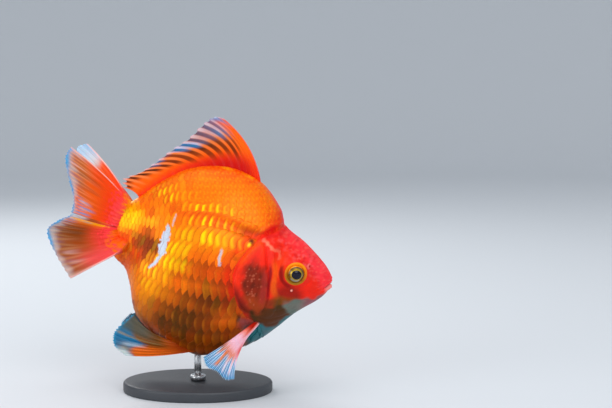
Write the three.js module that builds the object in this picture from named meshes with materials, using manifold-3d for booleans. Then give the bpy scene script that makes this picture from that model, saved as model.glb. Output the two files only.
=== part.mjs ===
// Goldfish of the deep-bodied, double-tailed fantail form, life size, swimming nose-down on a stand.
// Millimetres. +Z is up and the floor is Z = 0, with the origin under the middle of the stand base.
// The fish is laid out in its own frame: x forward to the snout, y to its left, z towards its back,
// with x = 0 where the tail fin is rooted. One nested group then tips that frame nose-down.

import * as THREE from 'three';
import Module from 'manifold-3d';
import { mergeVertices } from 'three/addons/utils/BufferGeometryUtils.js';

// ---- driving dimensions -------------------------------------------------------------------------

const NOSE_DOWN = THREE.MathUtils.degToRad(15);  // pitch of the swimming fish
const TAIL_ROOT = { x: -31.6, z: 71.2 };         // where the fish frame's origin sits over the floor
const GAP = 0.3;                                 // clearance between neighbouring pieces
const FIN_GAP = 0.35;                            // clearance between a fin's root and the body

const BODY_RING_STEPS = 3;                       // rings between two stations of the body
const BODY_SIDES = 28;                           // facets round the body
const BELLY_POWER = 0.95;                        // how squarely the belly closes, 1 being an ellipse
const END_RING = 0.12;                           // how far in the end rings stand, in rings

const BALL_SIDES = 16;                           // facets round an eyeball and its socket
const BALL_RINGS = 10;

const EYE = { x: 76.15, y: 10.0, z: 0.95, radius: 4.2 };
const ORBIT = { radius: 5.2, inset: 1.3 };       // fleshy mound round the eyeball
const NOSTRIL = { x: 81.4, y: 8.2, z: 5.0, radius: 0.6, depth: 1.4, tilt: 0.5, sides: 10 };

const GILL_COVER_PROUD = 0.5;                    // how far the bony plate stands out of the head
const GILL_COVER_DEPTH = 1.3;                    // how far it is let into the head
const GILL_COVER_REACH = [6, 30];                // its nearest and furthest distance from the middle
const MOUTH_CUT = 0.45;                          // width of the mouth's slit

const FIN_THICK = { root: 1.1, edge: 0.6 };
const DORSAL_THICK = { root: 1.8, edge: 0.6 };
const FIN_STEPS = {                              // facets across a fin's rays and along them
  dorsal: [20, 6],
  tail: [9, 6],
  pectoral: [7, 6],
  pelvic: [7, 6],
  anal: [5, 4],
};

// A block round the whole fish, for dividing it along a line: limits in x and z, and half-width.
const BLOCK = { rear: -60, front: 100, under: -60, over: 60, half: 45 };

const BASE_SIDES = 40;
const ROD_SIDES = 16;

const BASE = { length: 64, width: 50, height: 4.5, bevel: 0.8 };
const ROD = { radius: 1.5, intoBody: 6, intoBase: 2.5 };
const COLLAR = { radius: 3.4, height: 2.2 };

// Stations of the body from snout to tail stem. top and bottom are the back and belly points, half
// is the half-width, widest says where that width lies from belly (-1) to back (1), and crest is
// how sharply the back closes over: 1 is an ellipse, more is narrower.
const STATIONS = [
  { top: [92.6, -0.2], bottom: [92.6, -0.4], half: 0.0, widest: 0.0, crest: 1.0 },    // snout tip
  { top: [91.6, 2.1], bottom: [92.2, -2.7], half: 2.8, widest: 0.0, crest: 0.95 },    // lips
  { top: [86.8, 6.9], bottom: [88.6, -8.6], half: 6.4, widest: 0.0, crest: 0.9 },     // nostrils
  { top: [77.0, 13.2], bottom: [80.6, -16.8], half: 11.0, widest: 0.0, crest: 0.85 }, // eyes
  { top: [67.6, 17.7], bottom: [74.4, -25.2], half: 14.8, widest: -0.1, crest: 0.95 },  // nape
  { top: [63.3, 24.9], bottom: [68.6, -32.0], half: 17.4, widest: -0.2, crest: 1.15 },  // hump
  { top: [52.5, 33.5], bottom: [59.2, -39.4], half: 20.2, widest: -0.25, crest: 1.25 },
  { top: [37.8, 36.3], bottom: [45.6, -45.2], half: 21.5, widest: -0.25, crest: 1.25 }, // deepest
  { top: [22.8, 31.7], bottom: [29.8, -43.3], half: 19.6, widest: -0.25, crest: 1.2 },
  { top: [12.0, 23.0], bottom: [16.0, -36.4], half: 15.0, widest: -0.2, crest: 1.15 },
  { top: [6.0, 16.2], bottom: [9.9, -24.8], half: 10.4, widest: -0.1, crest: 1.05 },
  { top: [1.6, 11.2], bottom: [5.6, -17.9], half: 7.2, widest: 0.0, crest: 1.0 },     // tail stem
  { top: [-2.3, 8.0], bottom: [-1.0, -13.2], half: 4.6, widest: 0.0, crest: 1.0 },
  { top: [-4.0, -1.4], bottom: [-4.0, -1.6], half: 0.0, widest: 0.0, crest: 1.0 },    // its end
];

// Side outlines in the fish's x and z.
const NECK_LINE = [[68, 50], [67.4, 19.5], [57.8, 10.5], [52.3, -1.5], [54.0, -11.5], [60.0, -20.0],
  [69.0, -26.0], [76, -50]];
const STEM_LINE = [[3.5, 40], [7.0, 16.0], [8.2, -4.0], [9.5, -23.0], [13, -60]];
const GILL_COVER = [[59.0, 10.0], [55.0, 4.0], [53.3, -2.4], [53.8, -9.0], [56.6, -14.8],
  [61.2, -18.4], [67.0, -18.0], [68.2, -11.5], [66.4, -3.5], [63.6, 3.0], [61.6, 8.4]];
const GILL_CENTRE = [60.0, -4.5];                // middle of the gill cover's outline
const MOUTH_LINE = [[96, 1.6], [91.6, -1.3], [88.4, -4.4], [85.4, -6.4], [81.6, -10.6], [79.6, -60]];

// Fins: each ray is [root, middle, tip] in the fish frame, on the fish's right side (y negative).
const DORSAL_RAYS = [
  [[52.8, 0, 31.0], [44.0, 0, 45.4], [29.8, 0, 55.0]],
  [[49.4, 0, 32.4], [40.2, 0, 46.2], [26.0, 0, 54.6]],
  [[45.0, 0, 33.4], [36.0, 0, 45.4], [22.2, 0, 50.4]],
  [[38.2, 0, 33.8], [30.0, 0, 42.2], [17.4, 0, 42.6]],
  [[30.6, 0, 32.4], [22.6, 0, 37.4], [11.6, 0, 36.0]],
  [[22.8, 0, 29.2], [15.4, 0, 31.6], [6.0, 0, 28.8]],
  [[15.4, 0, 23.8], [9.6, 0, 26.0], [0.8, 0, 23.2]],
  [[9.0, 0, 17.0], [4.2, 0, 19.6], [-5.0, 0, 19.2]],
  [[4.6, 0, 12.4], [1.2, 0, 14.8], [-4.0, 0, 15.6]],
];
const TAIL_UPPER_RAYS = [
  [[1.6, -0.9, 9.2], [-11.6, -8.4, 19.6], [-26.8, -16.0, 28.2]],
  [[-0.4, -1.4, 7.8], [-12.6, -9.2, 15.8], [-27.9, -17.0, 22.8]],
  [[-1.4, -1.8, 5.0], [-12.0, -9.4, 9.6], [-24.2, -16.4, 14.8]],
  [[-2.0, -2.0, 2.0], [-11.2, -9.0, 4.4], [-20.7, -15.2, 7.6]],
  [[-2.2, -2.2, -0.8], [-11.2, -8.8, 0.2], [-20.5, -14.8, 1.4]],
];
const TAIL_LOWER_RAYS = [
  [[-2.2, -2.3, -1.8], [-11.4, -8.9, -1.2], [-20.6, -14.8, -0.3]],
  [[-1.8, -2.6, -3.2], [-13.2, -9.8, -3.8], [-25.0, -16.0, -3.2]],
  [[-0.6, -3.0, -4.8], [-13.4, -10.4, -7.2], [-27.8, -16.8, -8.6]],
  [[1.4, -3.6, -6.2], [-9.6, -11.0, -12.8], [-21.7, -17.2, -17.0]],
  [[6.4, -5.4, -6.8], [-3.0, -11.2, -15.9], [-13.6, -16.2, -25.6]],
];
const PECTORAL_RAYS = [
  [[67.2, -12.9, -22.0], [62.9, -20.6, -35.0], [64.1, -25.0, -46.4]],
  [[66.8, -13.2, -22.1], [61.7, -21.2, -34.6], [60.6, -26.0, -47.4]],
  [[66.3, -13.5, -22.2], [60.3, -21.8, -33.8], [56.0, -27.0, -44.8]],
  [[65.8, -13.8, -22.3], [58.9, -22.2, -32.8], [51.4, -27.4, -44.0]],
  [[65.4, -14.1, -22.4], [57.5, -22.2, -31.8], [49.0, -27.2, -40.4]],
];
const PELVIC_RAYS = [
  [[46.0, -7.4, -41.6], [30.0, -10.0, -48.2], [15.8, -11.6, -51.6]],
  [[44.6, -7.6, -41.4], [28.0, -10.4, -46.6], [10.8, -12.2, -49.2]],
  [[43.0, -7.8, -41.2], [26.6, -10.6, -45.0], [9.0, -12.2, -45.0]],
  [[41.4, -8.0, -41.0], [26.0, -10.6, -43.2], [9.8, -11.8, -41.0]],
  [[39.8, -8.2, -40.6], [25.8, -11.2, -39.4], [14.9, -12.0, -33.4]],
];
const ANAL_RAYS = [
  [[32.0, -2.6, -41.8], [21.5, -4.2, -43.8], [11.0, -5.6, -42.8]],
  [[29.4, -2.6, -41.0], [20.6, -4.2, -42.2], [10.2, -5.8, -39.6]],
  [[26.8, -2.6, -40.0], [19.8, -4.2, -40.8], [11.6, -5.6, -36.6]],
];

// How far a left fin's ray tips stand from the mirrored right fin's: the left pectoral is caught
// further back in its stroke, and the left upper tail lobe opens a little wider.
const LEFT_PECTORAL_SWING = [-8.0, -4.0, 12.0];
const LEFT_TAIL_SPREAD = [-2.6, 0.0, 2.0];
const SWING_AT_MIDDLE = 0.4;                     // share of it that reaches the middle of a ray

// ---- finishes -----------------------------------------------------------------------------------

function finish(color, roughness, metalness) {
  return new THREE.MeshStandardMaterial({ color, roughness, metalness });
}

const FINISHES = {
  head: () => finish('#e8331f', 0.4, 0.1),
  scales: () => finish('#f08a10', 0.35, 0.35),
  gillCover: () => finish('#b5451a', 0.35, 0.3),
  fin: () => finish('#f06a22', 0.45, 0.0),
  eye: () => finish('#1b1c30', 0.1, 0.0),
  stand: () => finish('#34373b', 0.5, 0.4),
  steel: () => finish('#b9bcc0', 0.3, 1.0),
};

// ---- curves and solids --------------------------------------------------------------------------

function throughPoints(points, t) {
  return new THREE.SplineCurve(points.map(([x, z]) => new THREE.Vector2(x, z))).getPoint(t);
}

function throughNumbers(values, t) {
  return throughPoints(values.map((value) => [value, 0]), t).x;
}

// Body section at t (0 snout, 1 end of stem), grown outwards by `grow`.
function section(t, grow) {
  const top = throughPoints(STATIONS.map((s) => s.top), t);
  const bottom = throughPoints(STATIONS.map((s) => s.bottom), t);
  const middle = top.clone().add(bottom).multiplyScalar(0.5);
  const up = top.clone().sub(bottom).multiplyScalar(0.5);
  up.setLength(up.length() + grow);
  return {
    middle,
    up,
    half: Math.max(throughNumbers(STATIONS.map((s) => s.half), t), 0) + grow,
    widest: throughNumbers(STATIONS.map((s) => s.widest), t),
    crest: throughNumbers(STATIONS.map((s) => s.crest), t),
  };
}

function sectionPoint({ middle, up, half, widest, crest }, angle) {
  const c = Math.cos(angle);
  const level = c > 0
    ? widest + (1 - widest) * Math.pow(c, crest)
    : widest - (1 + widest) * Math.pow(-c, BELLY_POWER);
  return new THREE.Vector3(
    middle.x + up.x * level,
    half * Math.sin(angle),
    middle.y + up.y * level,
  );
}

// Closed mesh of rings of equal count, with one point closing each end.
function ringsToGeometry(rings, first, last) {
  const sides = rings[0].length;
  const points = [first, ...rings.flat(), last];
  const faces = [];
  const at = (ring, side) => 1 + ring * sides + (side % sides);
  for (let side = 0; side < sides; side++) {
    faces.push(0, at(0, side + 1), at(0, side));
    faces.push(points.length - 1, at(rings.length - 1, side), at(rings.length - 1, side + 1));
    for (let ring = 0; ring + 1 < rings.length; ring++) {
      faces.push(at(ring, side), at(ring, side + 1), at(ring + 1, side));
      faces.push(at(ring, side + 1), at(ring + 1, side + 1), at(ring + 1, side));
    }
  }
  return indexed(points, faces);
}

function indexed(points, faces) {
  const geometry = new THREE.BufferGeometry();
  const xyz = points.flatMap((point) => [point.x, point.y, point.z]);
  geometry.setAttribute('position', new THREE.Float32BufferAttribute(xyz, 3));
  geometry.setIndex(faces);
  return geometry;
}

function endPoint({ top, bottom }, shift) {
  return new THREE.Vector3(top[0] + shift, 0, (top[1] + bottom[1]) / 2);
}

function bodyGeometry(grow = 0) {
  const count = (STATIONS.length - 1) * BODY_RING_STEPS;
  const rings = [];
  for (let i = 0; i <= count; i++) {
    const place = THREE.MathUtils.clamp(i, END_RING, count - END_RING);
    const shape = section(place / count, grow);
    rings.push(Array.from({ length: BODY_SIDES }, (_, side) =>
      sectionPoint(shape, (2 * Math.PI * side) / BODY_SIDES)));
  }
  return ringsToGeometry(rings, endPoint(STATIONS[0], grow), endPoint(STATIONS.at(-1), -grow));
}

// Thin sheet between key rays, thick along its normal, closed round its rim.
function finGeometry(rays, thick, [across, along]) {
  const curveOf = (index) => new THREE.CatmullRomCurve3(
    rays.map((ray) => new THREE.Vector3(...ray[index])), false, 'catmullrom');
  const [roots, middles, tips] = [0, 1, 2].map(curveOf);
  const surface = (u, v) => {
    const [root, middle, tip] = [roots, middles, tips].map((curve) => curve.getPoint(u));
    const pull = middle.multiplyScalar(2).sub(root.clone().add(tip).multiplyScalar(0.5));
    return new THREE.QuadraticBezierCurve3(root, pull, tip).getPoint(v);
  };
  const nudge = 0.01;
  const clamped = (value) => THREE.MathUtils.clamp(value, 0, 1);
  const sides = [[], []];
  for (let i = 0; i <= across; i++) {
    for (let j = 0; j <= along; j++) {
      const [u, v] = [i / across, j / along];
      const here = surface(u, v);
      const overU = surface(clamped(u + nudge), v).sub(surface(clamped(u - nudge), v));
      const overV = surface(u, clamped(v + nudge)).sub(surface(u, clamped(v - nudge)));
      const normal = overU.cross(overV).normalize();
      const half = THREE.MathUtils.lerp(thick.root, thick.edge, Math.sqrt(v)) / 2;
      sides[0].push(here.clone().addScaledVector(normal, half));
      sides[1].push(here.clone().addScaledVector(normal, -half));
    }
  }
  return sheetGeometry(sides, across, along);
}

function sheetGeometry([front, back], across, along) {
  const row = along + 1;
  const behind = front.length;
  const faces = [];
  const quad = (a, b, c, d) => faces.push(a, b, c, a, c, d);
  for (let i = 0; i < across; i++) {
    for (let j = 0; j < along; j++) {
      const a = i * row + j;
      quad(a, a + row, a + row + 1, a + 1);
      quad(behind + a, behind + a + 1, behind + a + row + 1, behind + a + row);
    }
    const root = i * row;
    const tip = root + along;
    quad(root, behind + root, behind + root + row, root + row);
    quad(tip, tip + row, behind + tip + row, behind + tip);
  }
  for (let j = 0; j < along; j++) {
    const end = across * row + j;
    quad(j, j + 1, behind + j + 1, behind + j);
    quad(end, behind + end, behind + end + 1, end + 1);
  }
  return indexed([...front, ...back], faces);
}

// Right prism across the fish over a side outline in x and z, smooth when `soft`.
function sidePrism(outline, fromY, toY, soft = false) {
  const corners = outline.map(([x, z]) => new THREE.Vector2(x, z));
  const shape = soft
    ? new THREE.Shape(new THREE.SplineCurve([...corners, corners[0]]).getPoints(2 * corners.length))
    : new THREE.Shape(corners);
  const geometry = new THREE.ExtrudeGeometry(shape, { depth: toY - fromY, bevelEnabled: false });
  geometry.rotateX(Math.PI / 2);
  return geometry.translate(0, toY, 0);
}

// Everything tailwards of a dividing line, moved along x by `shift`.
function behindLine(line, shift) {
  const curve = new THREE.SplineCurve(line.map(([x, z]) => new THREE.Vector2(x + shift, z)));
  const points = curve.getPoints(2 * line.length).map((point) => [point.x, point.y]);
  const { rear, under, over, half } = BLOCK;
  return sidePrism([...points, [rear, under], [rear, over]], -half, half);
}

// ---- booleans -----------------------------------------------------------------------------------

const wasm = await Module();
wasm.setup();

function toSolid(geometry) {
  geometry.deleteAttribute('normal');
  geometry.deleteAttribute('uv');
  const weld = 1e-4;
  const merged = mergeVertices(geometry, weld);
  return new wasm.Manifold(new wasm.Mesh({
    numProp: 3,
    vertProperties: new Float32Array(merged.attributes.position.array),
    triVerts: new Uint32Array(merged.index.array),
  }));
}

function toGeometry(solid) {
  const mesh = solid.getMesh();
  const geometry = new THREE.BufferGeometry();
  geometry.setAttribute('position', new THREE.BufferAttribute(mesh.vertProperties, 3));
  geometry.setIndex(new THREE.BufferAttribute(mesh.triVerts, 1));
  return geometry;
}

function ball(radius, x, y, z) {
  const sphere = new THREE.SphereGeometry(radius, BALL_SIDES, BALL_RINGS);
  return toSolid(sphere.rotateX(Math.PI / 2).translate(x, y, z));
}

function turned(points, sides) {
  const profile = points.map(([radius, height]) => new THREE.Vector2(radius, height));
  return new THREE.LatheGeometry(profile, sides).rotateX(Math.PI / 2);
}

// ---- the fish -----------------------------------------------------------------------------------

const fish = new THREE.Group();
fish.rotation.y = NOSE_DOWN;
fish.position.set(TAIL_ROOT.x, 0, TAIL_ROOT.z);

const model = new THREE.Group();
model.add(fish);
model.updateMatrixWorld(true);
const worldToFish = fish.matrixWorld.clone().invert();

function addTo(group, name, geometry, material) {
  const mesh = new THREE.Mesh(geometry, material);
  mesh.name = name;
  group.add(mesh);
}

const SIDES = [{ name: 'right', sign: -1 }, { name: 'left', sign: 1 }];

function orbitMounds() {
  return SIDES.map(({ sign }) => ball(ORBIT.radius, EYE.x, sign * (EYE.y - ORBIT.inset), EYE.z));
}

function nostril(sign) {
  const { x, y, z, radius, depth, tilt, sides } = NOSTRIL;
  const pit = new THREE.CylinderGeometry(radius, radius, 2 * depth, sides);
  return toSolid(pit.rotateZ(-sign * tilt).translate(x, sign * y, z));
}

function gillCoverRegion(sign, margin) {
  const centre = new THREE.Vector2(...GILL_CENTRE);
  const outline = GILL_COVER.map(([x, z]) => {
    const corner = new THREE.Vector2(x, z).sub(centre);
    corner.setLength(corner.length() + margin).add(centre);
    return [corner.x, corner.y];
  });
  const [near, far] = GILL_COVER_REACH;
  return toSolid(sidePrism(outline, sign < 0 ? -far : near, sign < 0 ? -near : far, true));
}

function rodInFishFrame(grow) {
  const reach = TAIL_ROOT.z;
  const rod = new THREE.CylinderGeometry(ROD.radius + grow, ROD.radius + grow, reach, ROD_SIDES);
  rod.rotateX(Math.PI / 2).translate(0, 0, rodTop() + grow - reach / 2);
  return toSolid(rod.applyMatrix4(worldToFish));
}

// Height over the floor of the belly's underside where the rod meets it.
function bellyHeight() {
  const steps = 400;
  let best = { miss: Infinity };
  for (let i = 0; i <= steps; i++) {
    const { x, y } = throughPoints(STATIONS.map((s) => s.bottom), i / steps);
    const point = new THREE.Vector3(x, 0, y).applyMatrix4(fish.matrixWorld);
    const miss = Math.abs(point.x);
    if (miss < best.miss && point.z < TAIL_ROOT.z) best = { miss, height: point.z };
  }
  return best.height;
}

function rodTop() {
  return bellyHeight() + ROD.intoBody;
}

function buildBody() {
  const body = toSolid(bodyGeometry());
  const [moundRight, moundLeft] = orbitMounds();
  let flesh = body.add(moundRight).add(moundLeft).subtract(rodInFishFrame(GAP));
  const deep = toSolid(bodyGeometry(-GILL_COVER_DEPTH - GAP));
  const inner = toSolid(bodyGeometry(-GILL_COVER_DEPTH));
  const outer = toSolid(bodyGeometry(GILL_COVER_PROUD));
  for (const { name, sign } of SIDES) {
    flesh = flesh.subtract(ball(EYE.radius + GAP, EYE.x, sign * EYE.y, EYE.z));
    flesh = flesh.subtract(nostril(sign));
    flesh = flesh.subtract(gillCoverRegion(sign, GAP).subtract(deep));
    const plate = outer.subtract(inner).intersect(gillCoverRegion(sign, 0));
    addTo(fish, `gill_cover_${name}`, toGeometry(plate), FINISHES.gillCover());
    const eyeball = ball(EYE.radius, EYE.x, sign * EYE.y, EYE.z);
    addTo(fish, `eye_${name}`, toGeometry(eyeball), FINISHES.eye());
  }
  const behindNeck = toSolid(behindLine(NECK_LINE, GAP / 2));
  const behindNeckTight = toSolid(behindLine(NECK_LINE, -GAP / 2));
  const behindStem = toSolid(behindLine(STEM_LINE, GAP / 2));
  const behindStemTight = toSolid(behindLine(STEM_LINE, -GAP / 2));
  const aboveMouth = toSolid(mouthRegion(MOUTH_CUT / 2));
  const aboveMouthTight = toSolid(mouthRegion(-MOUTH_CUT / 2));
  const skull = flesh.subtract(behindNeck);
  addTo(fish, 'head', toGeometry(skull.intersect(aboveMouth)), FINISHES.head());
  addTo(fish, 'lower_jaw', toGeometry(skull.subtract(aboveMouthTight)), FINISHES.head());
  const rear = flesh.intersect(behindNeckTight);
  addTo(fish, 'trunk', toGeometry(rear.subtract(behindStem)), FINISHES.scales());
  addTo(fish, 'tail_stem', toGeometry(rear.intersect(behindStemTight)), FINISHES.scales());
}

// Everything above and behind the mouth's line, with that line lowered by -lift.
function mouthRegion(lift) {
  const line = MOUTH_LINE.map(([x, z]) => [x - lift, z + lift]);
  const { rear, front, under, over, half } = BLOCK;
  return sidePrism([...line, [rear, under], [rear, over], [front, over]], -half, half);
}

// The same rays with their tips moved by `shift`, and their middles by a share of it.
function swung(rays, shift) {
  const moved = (point, share) => point.map((value, axis) => value + share * shift[axis]);
  return rays.map(([root, middle, tip]) => [root, moved(middle, SWING_AT_MIDDLE), moved(tip, 1)]);
}

function addFin(name, rays, sign, thick, steps) {
  const sided = rays.map((ray) => ray.map(([x, y, z]) => [x, -sign * y, z]));
  const sheet = sign > 0 ? sided.reverse() : sided;
  const fin = toSolid(finGeometry(sheet, thick, steps));
  const clearance = toSolid(bodyGeometry(FIN_GAP));
  addTo(fish, name, toGeometry(fin.subtract(clearance)), FINISHES.fin());
}

function buildFins() {
  addFin('dorsal_fin', DORSAL_RAYS, -1, DORSAL_THICK, FIN_STEPS.dorsal);
  const [firstRay, ...otherRays] = TAIL_UPPER_RAYS;
  const wideUpper = [firstRay, ...swung(otherRays, LEFT_TAIL_SPREAD)];
  for (const { name, sign } of SIDES) {
    const upper = sign > 0 ? wideUpper : TAIL_UPPER_RAYS;
    addFin(`tail_fin_upper_${name}`, upper, sign, FIN_THICK, FIN_STEPS.tail);
    addFin(`tail_fin_lower_${name}`, TAIL_LOWER_RAYS, sign, FIN_THICK, FIN_STEPS.tail);
    const stroke = sign > 0 ? swung(PECTORAL_RAYS, LEFT_PECTORAL_SWING) : PECTORAL_RAYS;
    addFin(`pectoral_fin_${name}`, stroke, sign, FIN_THICK, FIN_STEPS.pectoral);
    addFin(`pelvic_fin_${name}`, PELVIC_RAYS, sign, FIN_THICK, FIN_STEPS.pelvic);
    addFin(`anal_fin_${name}`, ANAL_RAYS, sign, FIN_THICK, FIN_STEPS.anal);
  }
}

function buildStand() {
  const edge = 1 - BASE.bevel / (BASE.width / 2);
  const base = turned([[0, 0], [1, 0], [1, BASE.height - BASE.bevel], [edge, BASE.height],
    [0, BASE.height]], BASE_SIDES).scale(BASE.length / 2, BASE.width / 2, 1);
  const socket = BASE.height - ROD.intoBase - GAP;
  const clear = ROD.radius + GAP;
  const through = 2 * BASE.height;
  const bore = turned([[0, socket], [clear, socket], [clear, through], [0, through]], ROD_SIDES);
  const bored = toSolid(base).subtract(toSolid(bore));
  addTo(model, 'stand_base', toGeometry(bored), FINISHES.stand());
  const foot = BASE.height - ROD.intoBase;
  const rod = turned([[0, foot], [ROD.radius, foot], [ROD.radius, rodTop()], [0, rodTop()]], ROD_SIDES);
  addTo(model, 'stand_rod', rod, FINISHES.steel());
  const low = BASE.height + GAP;
  const high = low + COLLAR.height;
  const collar = turned([[clear, low], [COLLAR.radius, low], [COLLAR.radius, high],
    [clear, high], [clear, low]], ROD_SIDES);
  addTo(model, 'stand_collar', collar, FINISHES.steel());
}

buildBody();
buildFins();
buildStand();

export default model;
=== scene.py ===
"""A goldfish of the deep-bodied fantail form as a painted museum model on a rod stand.

Shapes are worked out in the fish's own frame in millimetres, x forward to the snout, y to its left
and z towards its back, and are then tipped nose-down and set in place as the solids are.
"""

import math

import bpy
import numpy as np
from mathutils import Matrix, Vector


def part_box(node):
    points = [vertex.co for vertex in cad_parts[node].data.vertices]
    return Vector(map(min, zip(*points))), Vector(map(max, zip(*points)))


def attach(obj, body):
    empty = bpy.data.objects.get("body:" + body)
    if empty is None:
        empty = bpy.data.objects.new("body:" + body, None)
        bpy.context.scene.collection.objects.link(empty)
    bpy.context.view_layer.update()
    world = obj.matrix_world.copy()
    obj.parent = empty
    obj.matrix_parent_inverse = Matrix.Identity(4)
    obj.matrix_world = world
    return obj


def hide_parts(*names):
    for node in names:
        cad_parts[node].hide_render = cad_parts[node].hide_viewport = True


MM = 0.001

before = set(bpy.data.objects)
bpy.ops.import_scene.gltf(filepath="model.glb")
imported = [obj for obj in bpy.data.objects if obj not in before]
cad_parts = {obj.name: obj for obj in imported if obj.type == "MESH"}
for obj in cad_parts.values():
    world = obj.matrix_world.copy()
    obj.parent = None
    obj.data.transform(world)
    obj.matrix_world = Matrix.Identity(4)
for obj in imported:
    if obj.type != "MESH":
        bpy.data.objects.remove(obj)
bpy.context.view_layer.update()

# ---- the fish's own dimensions ------------------------------------------------------------------

NOSE_DOWN = math.radians(15)
FLESH = ("head", "lower_jaw", "trunk", "tail_stem")
SIDES = (("right", -1), ("left", 1))

# Body stations from snout to tail stem: back x and z, belly x and z, half-width, level of the
# widest point from belly (-1) to back (1), and how sharply the back closes over.
STATIONS = np.array([
    (92.6, -0.2, 92.6, -0.4, 0.0, 0.0, 1.0),       # snout tip
    (91.6, 2.1, 92.2, -2.7, 2.8, 0.0, 0.95),       # lips
    (86.8, 6.9, 88.6, -8.6, 6.4, 0.0, 0.9),        # nostrils
    (77.0, 13.2, 80.6, -16.8, 11.0, 0.0, 0.85),    # eyes
    (67.6, 17.7, 74.4, -25.2, 14.8, -0.1, 0.95),   # nape
    (63.3, 24.9, 68.6, -32.0, 17.4, -0.2, 1.15),   # front of the hump
    (52.5, 33.5, 59.2, -39.4, 20.2, -0.25, 1.25),
    (37.8, 36.3, 45.6, -45.2, 21.5, -0.25, 1.25),  # deepest
    (22.8, 31.7, 29.8, -43.3, 19.6, -0.25, 1.2),
    (12.0, 23.0, 16.0, -36.4, 15.0, -0.2, 1.15),
    (6.0, 16.2, 9.9, -24.8, 10.4, -0.1, 1.05),
    (1.6, 11.2, 5.6, -17.9, 7.2, 0.0, 1.0),        # tail stem
    (-2.3, 8.0, -1.0, -13.2, 4.6, 0.0, 1.0),
    (-4.0, -1.4, -4.0, -1.6, 0.0, 0.0, 1.0),       # its end
])
LAST = len(STATIONS) - 1
BELLY_POWER = 0.95

EYE = np.array((76.15, 10.0, 0.95))               # centre of the left eyeball
EYE_RADIUS = 4.2
EYE_AIM = np.array((0.30, 1.0, -0.03))                # the left eye looks out and a little forward
ORBIT_RIM = 3.75                                      # radius of the opening in the skin
SOCKET_HEIGHT = 0.2                                   # height of the skin behind the eyeball
MOUND_TOP, MOUND_FOOT, MOUND_HEIGHT = 4.5, 7.6, 2.15  # the raised skin about it, from its axis

# Side outlines in x and z: where the scales begin, the bony gill cover and the mouth.
NECK_LINE = np.array([(68, 50), (67.4, 19.5), (57.8, 10.5), (52.3, -1.5), (54.0, -11.5),
                      (60.0, -20.0), (69.0, -26.0), (76, -50)], float)
GILL_COVER = np.array([(59.0, 10.0), (55.0, 4.0), (53.3, -2.4), (53.8, -9.0), (56.6, -14.8),
                       (61.2, -18.4), (67.0, -18.0), (68.2, -11.5), (66.4, -3.5), (63.6, 3.0),
                       (61.6, 8.4)], float)
MOUTH_FRONT, MOUTH_CORNER = np.array((92.3, -1.0)), np.array((88.4, -4.6))
NOSTRIL = np.array((81.4, 8.2, 5.0))

COAT_DEPTH = 0.50                                 # how far the skin lies under the scales' tips
SCALE_ROWS = 15                                   # rows of scales from back to belly, one side
SCALE_COLUMNS = 26                                # scales from the gill cover to the tail
SCALE_LENGTH = 2.4                                # each scale's length, in columns
SCALE_HALF = 0.86                                 # each scale's half-height, in rows

# Fins: each key ray is root, middle and tip, on the fish's right side (y negative).
DORSAL_RAYS = [
    [(52.8, 0, 31.0), (44.0, 0, 45.4), (29.8, 0, 55.0)],
    [(49.4, 0, 32.4), (40.2, 0, 46.2), (26.0, 0, 54.6)],
    [(45.0, 0, 33.4), (36.0, 0, 45.4), (22.2, 0, 50.4)],
    [(38.2, 0, 33.8), (30.0, 0, 42.2), (17.4, 0, 42.6)],
    [(30.6, 0, 32.4), (22.6, 0, 37.4), (11.6, 0, 36.0)],
    [(22.8, 0, 29.2), (15.4, 0, 31.6), (6.0, 0, 28.8)],
    [(15.4, 0, 23.8), (9.6, 0, 26.0), (0.8, 0, 23.2)],
    [(9.0, 0, 17.0), (4.2, 0, 19.6), (-5.0, 0, 19.2)],
    [(4.6, 0, 12.4), (1.2, 0, 14.8), (-4.0, 0, 15.6)],
]
TAIL_UPPER_RAYS = [
    [(1.6, -0.9, 9.2), (-11.6, -8.4, 19.6), (-26.8, -16.0, 28.2)],
    [(-0.4, -1.4, 7.8), (-12.6, -9.2, 15.8), (-27.9, -17.0, 22.8)],
    [(-1.4, -1.8, 5.0), (-12.0, -9.4, 9.6), (-24.2, -16.4, 14.8)],
    [(-2.0, -2.0, 2.0), (-11.2, -9.0, 4.4), (-20.7, -15.2, 7.6)],
    [(-2.2, -2.2, -0.8), (-11.2, -8.8, 0.2), (-20.5, -14.8, 1.4)],
]
TAIL_LOWER_RAYS = [
    [(-2.2, -2.3, -1.8), (-11.4, -8.9, -1.2), (-20.6, -14.8, -0.3)],
    [(-1.8, -2.6, -3.2), (-13.2, -9.8, -3.8), (-25.0, -16.0, -3.2)],
    [(-0.6, -3.0, -4.8), (-13.4, -10.4, -7.2), (-27.8, -16.8, -8.6)],
    [(1.4, -3.6, -6.2), (-9.6, -11.0, -12.8), (-21.7, -17.2, -17.0)],
    [(6.4, -5.4, -6.8), (-3.0, -11.2, -15.9), (-13.6, -16.2, -25.6)],
]
PECTORAL_RAYS = [
    [(67.2, -12.9, -22.0), (62.9, -20.6, -35.0), (64.1, -25.0, -46.4)],
    [(66.8, -13.2, -22.1), (61.7, -21.2, -34.6), (60.6, -26.0, -47.4)],
    [(66.3, -13.5, -22.2), (60.3, -21.8, -33.8), (56.0, -27.0, -44.8)],
    [(65.8, -13.8, -22.3), (58.9, -22.2, -32.8), (51.4, -27.4, -44.0)],
    [(65.4, -14.1, -22.4), (57.5, -22.2, -31.8), (49.0, -27.2, -40.4)],
]
LEFT_PECTORAL_SWING = np.array((-8.0, -4.0, 12.0))  # the left one is further back in its stroke
LEFT_TAIL_SPREAD = np.array((-2.6, 0.0, 2.0))       # the left upper lobe opens a little wider
SWING_SHARE = np.array((0, 0.4, 1.0))[:, None]      # how far a ray's root, middle and tip go along
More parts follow.
